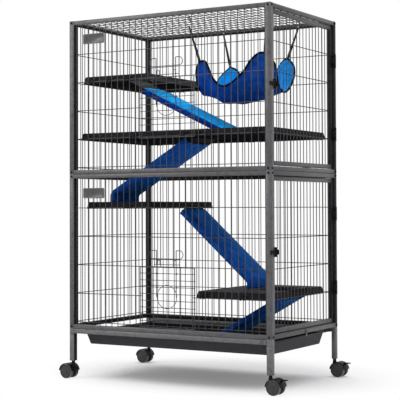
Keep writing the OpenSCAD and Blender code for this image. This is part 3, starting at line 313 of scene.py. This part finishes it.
# the legs wear the paler painted light, and the left legs' sides that face into the cage the near-black painted
# shade
for name in ("stand_front", "stand_rear"):
    recoat(soften(name, "cage", leg_light_coat, leg_edge), dark_shade_coat, faces_inward)

# A small steel plate is fixed to the front panel of each storey, pressed with a raised border.
# Its middle stays bare.
plate_edge = 0.0004
plate_border, plate_step, plate_sunk = 0.0030, 0.0008, -0.0006


def pick_faces(piece, wanted):
    """Opens a piece for editing with its wanted faces picked."""
    for polygon in piece.data.polygons:
        polygon.select = wanted(polygon)
    bpy.ops.object.mode_set(mode="EDIT")
    bpy.context.tool_settings.mesh_select_mode = (False, False, True)


plates = soften("name_plates", "cage", hammertone, plate_edge)
plate_field = painted("plate_field", (0.040, 0.040, 0.042), (0.085, 0.085, 0.090), 700.0,
                      0.30, 0.30, 0.2, 0.25)
select_only(plates)
pick_faces(plates, lambda polygon: polygon.normal.y < -0.99 and polygon.area > 0.001)
bpy.ops.mesh.inset(thickness=plate_border, depth=0.0)
bpy.ops.mesh.inset(thickness=plate_step, depth=plate_sunk)
bpy.ops.object.mode_set(mode="OBJECT")
recoat(plates, plate_field, lambda polygon: polygon.select)

# The panels are steel wires welded where they cross and dipped in thin black paint. The small front
# doors and their sliding latches are bent from the same wire.
wire_paint = painted("wire_black", (0.018, 0.018, 0.019), (0.045, 0.045, 0.048), 900.0,
                     0.40, 0.3, 0.15, 0.25)
for storey in ("lower", "upper"):
    dress(wire_paint, storey + "_front_wires", storey + "_rear_wires", storey + "_left_wires",
          storey + "_door_wires", storey + "_small_door", storey + "_small_latch")
dress(wire_paint, "roof_grid")

# Bolts, hinges and side latches are stamped steel with a satin black coat.
# The tray's turning catch is left in dull zinc.
stamped_edge, latch_edge = 0.0004, 0.0005
fitting_black = painted("fitting_black", (0.002, 0.002, 0.003), (0.007, 0.007, 0.008), 500.0,
                        0.45, 0.0, 0.2, 0.08)
dress(fitting_black, "frame_bolts")
for name, body, width in (("post_hinge_leaves", "cage", stamped_edge),
                          ("lower_door_fittings", "lower_side_door", stamped_edge),
                          ("upper_door_fittings", "upper_side_door", stamped_edge),
                          ("lower_door_latch", "lower_side_hook", latch_edge),
                          ("upper_door_latch", "upper_side_hook", latch_edge)):
    soften(name, body, fitting_black, width)
zinc = painted("dark_zinc", (0.060, 0.060, 0.064), (0.120, 0.120, 0.126), 300.0, 0.34, 0.6, 0.1)
dress(zinc, "tray_catch")

# Each caster is a black nylon hood on a black steel stem, over two wheels on one axle. The two casters
# on the right also have a brake pedal of the same nylon.
hood_edge = 0.0006
caster_black = painted("caster_nylon", (0.003, 0.003, 0.004), (0.008, 0.008, 0.009), 200.0,
                       0.42, 0.0, 0.1, 0.08)
caster_corners = ("front_left", "front_right", "rear_left", "rear_right")
dress(caster_black, "caster_stems")
for name in caster_corners:
    soften("caster_hood_" + name, "swivel_" + name, caster_black, hood_edge)
for name in ("front_right", "rear_right"):
    soften("brake_pedal_" + name, "pedal_" + name, caster_black, hood_edge)

# The wheels are moulded in grey nylon, with a rounded tread, a polished rim, a groove inside it and a
# raised boss over the axle's end. The rim's glossy coat is also paler than the nylon, a painted highlight.
# One is turned at the front left caster and copied to all the others.
tread, tread_round = 0.0155, 0.0024
rim_width, face_set_in = 0.0030, 0.0008
outer_turning = ((0.0010, -0.0002), (0.0006, -0.0014), (0.0014, 0.0), (0.0006, 0.0012), (0.0035, 0.0003),
                 (0.0075, 0.0005), (0.0006, -0.0006), (0.0010, 0.0), (0.0005, 0.0010), (0.0024, 0.0004))
inner_turning = ((0.0020, 0.0), (0.0008, -0.0050), (0.0110, 0.0), (0.0006, 0.0046), (0.0020, 0.0))
wheel_face_area = 0.0005
wheel_grey = painted("wheel_nylon", (0.017, 0.018, 0.017), (0.036, 0.038, 0.036), 240.0,
                     0.34, 0.0, 0.12, 0.25)
wheel_rim_highlight = painted("wheel_rim_highlight", (0.070, 0.070, 0.070), (0.110, 0.110, 0.110), 240.0,
                    0.20, 0.0, 0.05, 1.0)
wheel_low, wheel_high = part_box("caster_wheels_front_left")
hub = (Vector(wheel_low) + Vector(wheel_high)) / 2
wheel_radius = (wheel_high[2] - wheel_low[2]) / 2
wheel_out = (wheel_high[1] - wheel_low[1]) / 2


def unpick_all():
    """Leaves nothing on the open piece picked, and closes it."""
    bpy.ops.object.mode_set(mode="EDIT")
    bpy.context.tool_settings.mesh_select_mode = (False, False, True)
    bpy.ops.mesh.select_all(action="DESELECT")
    bpy.ops.object.mode_set(mode="OBJECT")


def join(pieces):
    """Makes one piece of several. It keeps the first one's name and what was said of it."""
    bpy.ops.object.select_all(action="DESELECT")
    for piece in pieces:
        piece.select_set(True)
    bpy.context.view_layer.objects.active = pieces[0]
    bpy.ops.object.join()
    return pieces[0]


# the rim faces that take the paler coat of painted highlight
def is_rim(polygon):
    from_hub = math.hypot(polygon.center.x - hub.x, polygon.center.z - hub.z)
    return from_hub > wheel_radius - rim_width and -0.97 < polygon.normal.y < -0.25


wheel = fresh(bpy.ops.mesh.primitive_cylinder_add, vertices=64, radius=wheel_radius, depth=tread - face_set_in,
              rotation=(math.pi / 2, 0.0, 0.0),
              location=(hub.x, hub.y - wheel_out + face_set_in + (tread - face_set_in) / 2, hub.z))
unpick_all()
pick_faces(wheel, lambda polygon: abs(polygon.normal.y) > 0.9)
bpy.ops.mesh.bevel(offset=tread_round, segments=4, affect="EDGES")
for outward, turning in ((-1, outer_turning), (1, inner_turning)):
    unpick_all()
    pick_faces(wheel, lambda polygon: polygon.normal.y * outward > 0.99 and polygon.area > wheel_face_area)
    for step, rise in turning:
        bpy.ops.mesh.inset(thickness=step, depth=rise)
bpy.ops.object.mode_set(mode="OBJECT")
bpy.ops.object.shade_smooth_by_angle(angle=math.radians(38))
wheel.data.materials.append(wheel_grey)
recoat(wheel, wheel_rim_highlight, is_rim)
for name in caster_corners:
    low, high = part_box("caster_wheels_" + name)
    middle = (Vector(low) + Vector(high)) / 2
    pair = []
    for half_turn, way in ((0.0, -1), (math.pi, 1)):
        copy = bpy.data.objects.new("wheel", wheel.data.copy())
        bpy.context.collection.objects.link(copy)
        select_only(copy)
        copy.rotation_euler = (0.0, 0.0, half_turn)
        copy.location = (middle.x + way * hub.x, middle.y + way * hub.y, middle.z - hub.z)
        bpy.ops.object.transform_apply(location=True, rotation=True, scale=True)
        pair.append(copy)
    wheels = join(pair)
    wheels.name = "wheels_" + name + "_finished"
    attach(wheels, "wheels_" + name)
    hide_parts("caster_wheels_" + name)
bpy.data.objects.remove(wheel)

# The shelves are moulded in dark plastic with a fine leather grain. Their tops are pressed with small
# raised squares, as a footing. Behind each pair of lugs the rim has two pockets, closed at the rear.
shelf_edge, shelf_skin = 0.0006, 0.0015
squares_per_metre, square_groove, square_rise = 90.0, 0.16, 0.0012
pocket_back, pocket_front, pocket_up = (0.024, 0.0030, 0.0110), 0.0375, 0.0090
black = (0.0, 0.0, 0.0, 1.0)
leather_grain = 420.0
moulded = painted("moulded_charcoal", (0.004, 0.004, 0.005), (0.013, 0.013, 0.015), leather_grain,
                  0.62, 0.0, 0.45, 0.04)
footing = painted("footing_charcoal", (0.006, 0.006, 0.007), (0.014, 0.014, 0.016), leather_grain,
                  0.62, 0.0, 0.3, 0.05)
tree = footing.node_tree
leather = tree.nodes["Bump"]
where = add_node(tree, "TexCoord", {})
lattice = add_node(tree, "Mapping", {"Vector": where.outputs["Object"],
                                     "Scale": (squares_per_metre, squares_per_metre, 1.0)})
squares = add_node(tree, "TexBrick", {"Vector": lattice.outputs["Vector"], "Scale": 1.0,
                                      "Brick Width": 1.0, "Row Height": 1.0,
                                      "Mortar Size": square_groove, "Mortar Smooth": 0.4,
                                      "Color1": white, "Color2": white, "Mortar": black},
                   offset=0.0, squash=1.0)
press = add_node(tree, "Bump", {"Strength": 0.9, "Distance": square_rise, "Height": squares.outputs["Color"]})
tree.links.new(press.outputs["Normal"], leather.inputs["Normal"])
for name, level_wire, lugs in (("top_shelf", 1.0415, (0.0875, 0.1625, 0.2375)),
                               ("full_shelf", 0.8415, (0.0625, 0.2625, 0.4625, 0.5125, 0.5625, 0.7375)),
                               ("left_shelf", 0.5990, (0.0875, 0.2375)),
                               ("right_shelf", 0.2990, (0.5375, 0.6875))):
    shelf = soften(name, "cage", moulded, shelf_edge)
    pockets = []
    for x in lugs:
        pocket = fresh(bpy.ops.mesh.primitive_cube_add, size=1.0, scale=pocket_back,
                       location=place(x, pocket_front, level_wire + pocket_up))
        pocket.data.materials.append(moulded)
        pockets.append(pocket)
    join([shelf] + pockets)
    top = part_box(name)[1][2]
    recoat(shelf, footing, lambda polygon: polygon.normal.z > 0.9 and polygon.center.z > top - shelf_skin)

# The litter tray is moulded in a greyer plastic. Its inside has the shelves' darker tone as painted shade,
# for the dark the shelves keep it in.
tray_edge = 0.0010
tray_tone = painted("tray_charcoal", (0.016, 0.016, 0.018), (0.029, 0.029, 0.033), leather_grain,
                    0.50, 0.0, 0.35, 0.14)
tray = soften("litter_tray", "tray", tray_tone, tray_edge)
tray_low, tray_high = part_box("litter_tray")
tray_middle = (Vector(tray_low) + Vector(tray_high)) / 2
# painted shade: the tray's inner faces take the shelves' darker tone
recoat(tray, moulded, lambda polygon: polygon.normal.dot(tray_middle - polygon.center) > 0)

# The ramps' boards are moulded like the shelves, and little of them shows beside their cloth sleeves:
# the hook at the head and the lower end.
board_edge = 0.0008
board_tone = painted("board_charcoal", (0.002, 0.002, 0.003), (0.007, 0.007, 0.008), leather_grain,
                     0.62, 0.0, 0.45, 0.03)
for name in ("top", "middle", "inner", "low"):
    soften(name + "_ramp_board", "cage", board_tone, board_edge)

# Each ramp wears a fleece sleeve that slides over its board and stops short of the board's hook.
# It is one strip sewn into a tube, with a hem at both ends, and the nap has run into slight folds. The top
# ramp's sleeve has a paler painted light on its upper face and a navy painted shade on its sides; the
# others are royal blue all round.
ramp_width, ramp_thick, ramp_round = 0.160, 0.024, 0.0062
ramp_crown = 0.0010
foot_turn = 0.035
hem_width, hem_rise, stitch_width, stitch_pull = 0.0135, 0.0007, 0.0022, 0.0009
sleeve_wall, sleeve_stretch = 0.0019, 0.97
sleeve_step, sleeve_around = 0.0040, 44
nap_wave, foot_ruck = 0.0011, 0.0022
fleece = bpy.data.node_groups.new("fleece_nap", "ShaderNodeTree")
fleece.interface.new_socket("Light", in_out="INPUT", socket_type="NodeSocketColor")
fleece.interface.new_socket("Dark", in_out="INPUT", socket_type="NodeSocketColor")
fleece.interface.new_socket("Color", in_out="OUTPUT", socket_type="NodeSocketColor")
fleece.interface.new_socket("Height", in_out="OUTPUT", socket_type="NodeSocketFloat")
group_in = fleece.nodes.new("NodeGroupInput")
group_out = fleece.nodes.new("NodeGroupOutput")
where = add_node(fleece, "TexCoord", {}).outputs["Object"]
pile = add_node(fleece, "TexNoise", {"Vector": where, "Scale": 520.0, "Detail": 3.0}).outputs["Fac"]
clumps = add_node(fleece, "TexNoise", {"Vector": where, "Scale": 42.0, "Detail": 4.0}).outputs["Fac"]
nap = add_node(fleece, "Math", {0: pile, 1: 0.5, 2: clumps}, operation="MULTIPLY_ADD").outputs[0]
spread = add_node(fleece, "MapRange", {"Value": nap, "From Min": 0.55, "From Max": 1.0})
dye = add_node(fleece, "Mix", {"Factor": spread.outputs[0], "A": group_in.outputs["Dark"],
                               "B": group_in.outputs["Light"]}, data_type="RGBA")
fleece.links.new(dye.outputs["Result"], group_out.inputs["Color"])
fleece.links.new(nap, group_out.inputs["Height"])


def napped(name, dark, light, sheen):
    """A fleece: dark between its clumps of nap, light on them, with a blue sheen."""
    cloth = bpy.data.materials.new(name)
    cloth.use_nodes = True
    tree = cloth.node_tree
    skin = tree.nodes["Principled BSDF"]
    skin.inputs["Roughness"].default_value = 0.86
    skin.inputs["Specular IOR Level"].default_value = 0.04
    skin.inputs["Sheen Weight"].default_value = sheen
    skin.inputs["Sheen Roughness"].default_value = 0.40
    skin.inputs["Sheen Tint"].default_value = (0.0, 0.42, 1.0, 1.0)
    fur = add_node(tree, "Group", {"Dark": (*dark, 1.0), "Light": (*light, 1.0)}, node_tree=fleece)
    bump = add_node(tree, "Bump", {"Strength": 0.35, "Distance": 0.0012, "Height": fur.outputs["Height"]})
    tree.links.new(fur.outputs["Color"], skin.inputs["Base Color"])
    tree.links.new(bump.outputs["Normal"], skin.inputs["Normal"])
    return cloth


def sewn_up(mesh, rows):
    """Faces from each ring of points to the next, in order."""
    around = len(rows[0])
    return [mesh.faces.new((near[j], near[(j + 1) % around], far[(j + 1) % around], far[j]))
            for near, far in zip(rows, rows[1:]) for j in range(around)]


def made_up(name, mesh, *finishes):
    """A smooth piece from a mesh, with its finishes."""
    data = bpy.data.meshes.new(name)
    mesh.to_mesh(data)
    mesh.free()
    piece = bpy.data.objects.new(name, data)
    bpy.context.collection.objects.link(piece)
    for finish in finishes:
        data.materials.append(finish)
    for polygon in data.polygons:
        polygon.use_smooth = True
    return piece


def thicken(piece, thickness, offset):
    """Gives a sheet its thickness."""
    select_only(piece)
    wall = piece.modifiers.new("wall", "SOLIDIFY")
    wall.thickness = thickness
    wall.offset = offset
    bpy.ops.object.modifier_apply(modifier="wall")


def across_sleeve(j):
    """Point j of the sleeve's section, sideways and up: a rounded oblong, a little crowned."""
    a = 2 * math.pi * j / sleeve_around
    c, q = math.cos(a), math.sin(a)
    squash = 0.16
    m = max(abs(c) / 1.0, abs(q) / squash)
    flat_x, flat_t = c / m, q / m / squash
    side = Vector((flat_x * (ramp_width / 2 - ramp_round), flat_t * (ramp_thick / 2 - ramp_round)))
    at_side = abs(flat_x) > 0.985
    if at_side and abs(flat_t) > 0.2:
        out = Vector((math.copysign(0.7, flat_x), math.copysign(0.7, flat_t)))
    elif at_side:
        out = Vector((math.copysign(1.0, flat_x), flat_t * 0.3))
    else:
        out = Vector((0.0, math.copysign(1.0, flat_t)))
    side += out.normalized() * ramp_round
    side.y += 0.0 if at_side else math.copysign(ramp_crown * (1 - flat_x * flat_x), flat_t)
    return side


cover_cloth = napped("cover_fleece", (0.0030, 0.036, 0.19), (0.0090, 0.090, 0.42), 0.30)
# the top ramp's sleeve: a navy copy of the fleece as painted shade and a paler one as painted light
painted_shade_cloth = napped("sleeve_painted_shade", (0.0015, 0.014, 0.13), (0.0050, 0.042, 0.28), 0.06)
painted_light_cloth = napped("sleeve_painted_light", (0.0010, 0.19, 0.50), (0.0030, 0.37, 0.84), 0.20)
for name, start, foot, drop, y0 in (("top", (0.256, 1.0182), (0.5788, 0.8630), 0.0, 0.090),
                                    ("middle", (0.423, 0.8408), (0.109, 0.6203), 0.035, 0.090),
                                    ("inner", (0.319, 0.5948), (0.598, 0.3203), 0.028, 0.248),
                                    ("low", (0.743, 0.3110), (0.4169, 0.1253), 0.0, 0.187)):
    # the sleeve's path along the top face: straight down the slope, then round the turned-down foot
    run_way = 1.0 if foot[0] > start[0] else -1.0
    turn = foot_turn if drop else 0.0
    fall = math.atan2(start[1] - foot[1] - drop, abs(foot[0] - start[0]))
    bend_back = turn * math.tan((math.pi / 2 - fall) / 2)
    straight = math.hypot(foot[0] - start[0], start[1] - foot[1] - drop) - bend_back
    arc = turn * (math.pi / 2 - fall)
    tail = max(0.0, drop - bend_back)
    long = straight + arc + tail
    rings = max(24, int(long / sleeve_step))
    mesh = bmesh.new()
    rows = []
    for i in range(rings + 1):
        s = long * i / rings
        if s <= straight or not drop:
            lean, x, z = fall, start[0] + run_way * s * math.cos(fall), start[1] - s * math.sin(fall)
        else:
            x0 = start[0] + run_way * straight * math.cos(fall)
            z0 = start[1] - straight * math.sin(fall)
            lean = fall + min(s - straight, arc) / turn
            x = x0 + run_way * turn * (math.sin(lean) - math.sin(fall))
            z = z0 - turn * (math.cos(fall) - math.cos(lean))
            z -= max(0.0, s - straight - arc)
        inward = Vector((-run_way * math.sin(lean), 0.0, -math.cos(lean)))
        from_foot = long - s
        from_end = min(s, from_foot)
        # the ends are looser than the middle, and each has a hem with a row of stitches that pulls it in
        loose = 0.45 + 0.55 * max(math.exp(-s / 0.03), math.exp(-from_foot / 0.05))
        hem = hem_rise * max(0.0, 1 - from_end / hem_width) ** 0.3
        stitches = stitch_pull * math.exp(-((from_end - hem_width) / stitch_width) ** 2)
        row = []
        for j in range(sleeve_around):
            side = across_sleeve(j)
            wave = noise.noise(Vector((s * 26 + y0 * 40, side.x * 12, 3.0))) * nap_wave
            wave *= loose
            if drop:
                ruck = noise.noise(Vector((s * 55, side.x * 9, y0 * 30)))
                wave += ruck * foot_ruck * math.exp(-from_foot / 0.055)
            wave += hem - stitches
            depth = ramp_thick / 2 - side.y - wave * (1 if side.y > 0 else -1)
            at = Vector((x, y0 + ramp_width / 2 + side.x, z)) + inward * depth
            # a foot that isn't turned down lies flat on what is under it
            if not drop and at.z < foot[1] + 0.0003:
                at.z = foot[1] + 0.0003 + 0.0006 * (1 - i / rings)
            row.append(mesh.verts.new(place(*at)))
        rows.append(row)
    for n, face in enumerate(sewn_up(mesh, rows)):
        # the top ramp's upper faces take the painted light, and the rest of it the painted shade
        face.material_index = 1 if name == "top" and 1 <= n % sleeve_around <= 20 else 0
    bmesh.ops.recalc_face_normals(mesh, faces=mesh.faces)
    finishes = (painted_shade_cloth, painted_light_cloth) if name == "top" else (cover_cloth,)
    sleeve = made_up(name + "_ramp_sleeve", mesh, *finishes)
    thicken(sleeve, sleeve_wall, -1.0)
    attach(sleeve, "cage")
    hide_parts(name + "_ramp_cover")

# The hammock is made of fleece, royal blue on its outer faces and paler blue on the faces that look up
# into it. It hangs by its four corners, and all four edges dip between them. Its edges and belly are in
# millimetres.
hammock_front = ((460, 128, 1101), (487, 125, 1097), (512, 122, 1047), (537, 121, 1018), (556, 120, 1011),
                 (574, 120, 1013), (602, 121, 1029), (636, 122, 1058), (661, 124, 1092), (690, 126, 1114),
                 (712, 130, 1115))
hammock_rear = ((460, 345, 1101), (485, 349, 1090), (510, 352, 1052), (537, 353, 1027), (560, 354, 1019),
                (585, 354, 1020), (610, 354, 1032), (636, 352, 1062), (655, 350, 1094), (675, 347, 1114),
                (691, 345, 1117))
hammock_left = ((460, 128, 1101), (434, 150, 1072), (423, 175, 1039), (418, 205, 1011), (416, 240, 996),
                (419, 275, 1011), (425, 302, 1039), (436, 326, 1072), (460, 345, 1101))
hammock_right = ((712, 130, 1115), (744, 138, 1078), (746, 152, 1038), (737, 180, 1012), (732, 210, 996),
                 (730, 240, 991), (732, 262, 1000), (736, 280, 1020), (739, 293, 1044), (735, 307, 1068),
                 (722, 322, 1094), (691, 345, 1117))
hammock_belly = ((416, 996), (452, 985), (508, 967), (548, 961), (594, 959), (644, 963), (668, 970), (707, 982),
                 (730, 991))
hammock_wall = 0.0036
hammock_sag = 1.55
folds = ((7.0, 2.2, 1.7, 4.0), (15.0, 4.0, 6.1, 1.6))
creases = ((13.0, 1.6, 9.4, 4.2), (24.0, 3.0, 2.2, 1.4))
span_u, span_v = 54, 46


def along(points, t):
    """The point at share t of a smooth line through points."""
    n = len(points) - 1
    i = min(int(t * n), n - 1)
    f = t * n - i
    p = [points[max(0, min(n, i + k))] for k in (-1, 0, 1, 2)]
    return [0.5 * (2 * b + (c - a) * f + (2 * a - 5 * b + 4 * c - d) * f * f + (3 * b - a - 3 * c + d) * f ** 3)
            for a, b, c, d in zip(*p)]


def rumpled(u, v, waves):
    """How far cloth stands off at a point, from waves of a width, a depth, a seed and a height."""
    return sum(noise.noise(Vector((u * wide, v * deep, seed))) * height for wide, deep, seed, height in waves)


mesh = bmesh.new()
grid = []
for i in range(span_u + 1):
    u = i / span_u
    f, r = along(hammock_front, u), along(hammock_rear, u)
    low = along(hammock_belly, u)[1]
    line = []
    for j in range(span_v + 1):
        v = j / span_v
        l, g = along(hammock_left, v), along(hammock_right, v)
        x = l[0] + (g[0] - l[0]) * u
        flat_x = f[0] + (r[0] - f[0]) * v
        near = max(0.0, 1 - 5 * min(v, 1 - v)) ** 2
        x = x * (1 - near) + flat_x * near
        y = f[1] + (r[1] - f[1]) * v
        side = abs(2 * v - 1)
        top = f[2] if v < 0.5 else r[2]
        z = low + (top - low) * side ** hammock_sag
        # the ends follow their own dipping edges
        for edge_point, share in ((l, max(0.0, 1 - 6 * u) ** 2), (g, max(0.0, 1 - 6 * (1 - u)) ** 2)):
            x, y, z = (a + (b - a) * share for a, b in zip((x, y, z), edge_point))
        inside = min(1.0, 6 * min(u, 1 - u)) * min(1.0, 6 * min(v, 1 - v))
        z += rumpled(u, v, folds) * inside
        y += rumpled(u, v, creases) * inside * (-1 if v < 0.5 else 1) * min(1.0, side * 2)
        line.append(mesh.verts.new(place(x / 1000, y / 1000, z / 1000)))
    grid.append(line)
for i in range(span_u):
    for j in range(span_v):
        mesh.faces.new((grid[i][j], grid[i][j + 1], grid[i + 1][j + 1], grid[i + 1][j]))
outer_cloth = napped("hammock_outside", (0.0040, 0.034, 0.20), (0.0110, 0.084, 0.40), 0.08)
inner_cloth = napped("hammock_inside", (0.0006, 0.115, 0.36), (0.002, 0.24, 0.66), 0.10)
hammock = made_up("hammock_cloth", mesh, outer_cloth)
thicken(hammock, hammock_wall, 0.0)
smooth = hammock.modifiers.new("smooth", "SUBSURF")
smooth.levels = 1
smooth.render_levels = 1
bpy.ops.object.modifier_apply(modifier="smooth")
over_cloth = place(0.58, 0.236, 1.13)
recoat(hammock, inner_cloth, lambda polygon: polygon.normal.dot(over_cloth - polygon.center) > 0)
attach(hammock, "cage")
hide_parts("hammock")

# The hammock's edge is bound with a round black piping, sewn on all the way round.
# It is one closed tube that runs along the four edges.
piping_radius = 0.0036
edge_steps = 60
piping_black = napped("binding_black", (0.002, 0.002, 0.003), (0.007, 0.007, 0.009), 0.0)
rim = bpy.data.curves.new("hammock_piping", "CURVE")
rim.dimensions = "3D"
rim.bevel_depth = piping_radius
rim.bevel_resolution = 3
there = [i / edge_steps for i in range(edge_steps)]
back = [1 - t for t in there]
loop = [along(points, t) for points, shares in ((hammock_front, there), (hammock_right, there),
                                                (hammock_rear, back), (hammock_left, back)) for t in shares]
line = rim.splines.new("POLY")
line.points.add(len(loop) - 1)
line.use_cyclic_u = True
for point, at in zip(line.points, loop):
    point.co = (*place(at[0] / 1000, at[1] / 1000, at[2] / 1000), 1.0)
piping = bpy.data.objects.new("hammock_piping", rim)
bpy.context.collection.objects.link(piping)
select_only(piping)
bpy.ops.object.convert(target="MESH")
piping = bpy.context.object
piping.data.materials.clear()
piping.data.materials.append(piping_black)
for polygon in piping.data.polygons:
    polygon.use_smooth = True
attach(piping, "cage")

# Four straps of black webbing hang the hammock. Each is folded back on itself and sewn at both ends,
# twists on its way up, and has a small steel ring at the cloth's corner.
band_wide, band_thick, band_steps = 0.0090, 0.0015, 56
band_section = ((-1, -0.4), (-0.86, -1), (0, -1), (0.86, -1), (1, -0.4),
                (1, 0.4), (0.86, 1), (0, 1), (-0.86, 1), (-1, 0.4))
hem_low, hem_high, hem_fade = 0.024, 0.030, 0.003
ring_radius, ring_wire = 0.0050, 0.0010
hangers = (((0.460, 0.128, 1.101), (0.425, 0.118)), ((0.712, 0.130, 1.115), (0.725, 0.118)),
           ((0.460, 0.345, 1.101), (0.425, 0.360)), ((0.691, 0.345, 1.117), (0.725, 0.360)))
webbing = painted("strap_webbing", (0.004, 0.004, 0.005), (0.012, 0.012, 0.014), 1500.0, 0.75, 0.0, 0.6, 0.2)
ring_steel = painted("ring_steel", (0.30, 0.30, 0.32), (0.46, 0.46, 0.48), 300.0, 0.28, 0.9, 0.1)
hook_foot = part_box("snap_hooks")[0][2]
mesh = bmesh.new()
for cloth_end, hook_at in hangers:
    low = place(*cloth_end) + Vector((0.0, 0.0, 0.003))
    high = place(*hook_at, 0.0)
    high.z = hook_foot - 0.0055
    way = high - low
    length = way.length
    way.normalize()
    flat = way.cross(Vector((0.0, 1.0, 0.0))).normalized()
    rows = []
    for i in range(band_steps + 1):
        s = length * i / band_steps
        wander = noise.noise(Vector((i * 0.25, cloth_end[0] * 9, 0.0)))
        twist = math.radians(25 + 75 * (i / band_steps)) + 0.10 * wander
        broad = math.cos(twist) * flat + math.sin(twist) * way.cross(flat)
        thin = way.cross(broad)
        sewn = max(1 - max(0.0, s - hem_low) / hem_fade, 1 - max(0.0, length - hem_high - s) / hem_fade, 0.0)
        thick = band_thick * (1 + 1.2 * min(1.0, sewn))
        wide = band_wide * (1 - 0.30 * min(1.0, max(0.0, 1 - min(s, length - s) / 0.008)))
        at = low + way * s + thin * (0.0012 * noise.noise(Vector((s * 18, cloth_end[1] * 7, 4.0))))
        rows.append([mesh.verts.new(at + broad * (wide / 2 * a) + thin * (thick / 2 * b))
                     for a, b in band_section])
    sewn_up(mesh, rows)
    mesh.faces.new(rows[0])
    mesh.faces.new(rows[-1])
bmesh.ops.recalc_face_normals(mesh, faces=mesh.faces)
straps = made_up("hammock_webbing", mesh, webbing, ring_steel)
rings_made = []
for (x, y, z), _ in hangers:
    ring = fresh(bpy.ops.mesh.primitive_torus_add, major_segments=24, minor_segments=8,
                 major_radius=ring_radius, minor_radius=ring_wire,
                 rotation=(math.pi / 2, 0.0, math.radians(35)), location=place(x, y, z + 0.0035))
    bpy.ops.object.shade_smooth()
    ring.data.materials.append(ring_steel)
    rings_made.append(ring)
join([straps] + rings_made)
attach(straps, "cage")
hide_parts("hammock_straps")

# The snap hooks are bent from round steel wire and blackened. A sprung gate with a small sleeve closes
# one side, and a zinc-plated swivel under the hook carries the strap.
link_radius, link_wire, link_stretch = 0.0042, 0.0013, 0.0150
link_up = 0.0055
hook_black = painted("hook_black", (0.006, 0.006, 0.007), (0.016, 0.016, 0.018), 500.0, 0.30, 0.5, 0.1, 0.4)
gate = (Vector((link_radius, 0.0, 0.0130)), 0.0019, 0.0085, hook_black)
swivel = (Vector((0.0, 0.0, -0.0018)), 0.0026, 0.0036, ring_steel)
hook_parts = []
for _, (x, y) in hangers:
    foot = place(x, y, 0.0)
    foot.z = hook_foot
    link = fresh(bpy.ops.mesh.primitive_torus_add, major_segments=28, minor_segments=10,
                 major_radius=link_radius, minor_radius=link_wire,
                 rotation=(math.pi / 2, 0.0, 0.0), location=foot + Vector((0.0, 0.0, link_up)))
    for vertex in link.data.vertices:
        vertex.select = vertex.co.z > foot.z + link_up + 0.0001
    bpy.ops.object.mode_set(mode="EDIT")
    bpy.context.tool_settings.mesh_select_mode = (True, False, False)
    bpy.ops.transform.translate(value=(0.0, 0.0, link_stretch))
    bpy.ops.object.mode_set(mode="OBJECT")
    bpy.ops.object.shade_smooth()
    link.data.materials.append(hook_black)
    hook_parts.append(link)
    for offset, radius, depth, finish in (gate, swivel):
        turned = fresh(bpy.ops.mesh.primitive_cylinder_add, vertices=20, radius=radius, depth=depth,
                       location=foot + offset)
        pick_faces(turned, lambda polygon: abs(polygon.normal.z) > 0.9)
        bpy.ops.mesh.bevel(offset=0.0005, segments=3, affect="EDGES")
        bpy.ops.object.mode_set(mode="OBJECT")
        bpy.ops.object.shade_smooth_by_angle(angle=math.radians(40))
        turned.data.materials.append(finish)
        hook_parts.append(turned)
hooks = join(hook_parts)
hooks.name = "snap_hooks_finished"
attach(hooks, "cage")
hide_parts("snap_hooks")
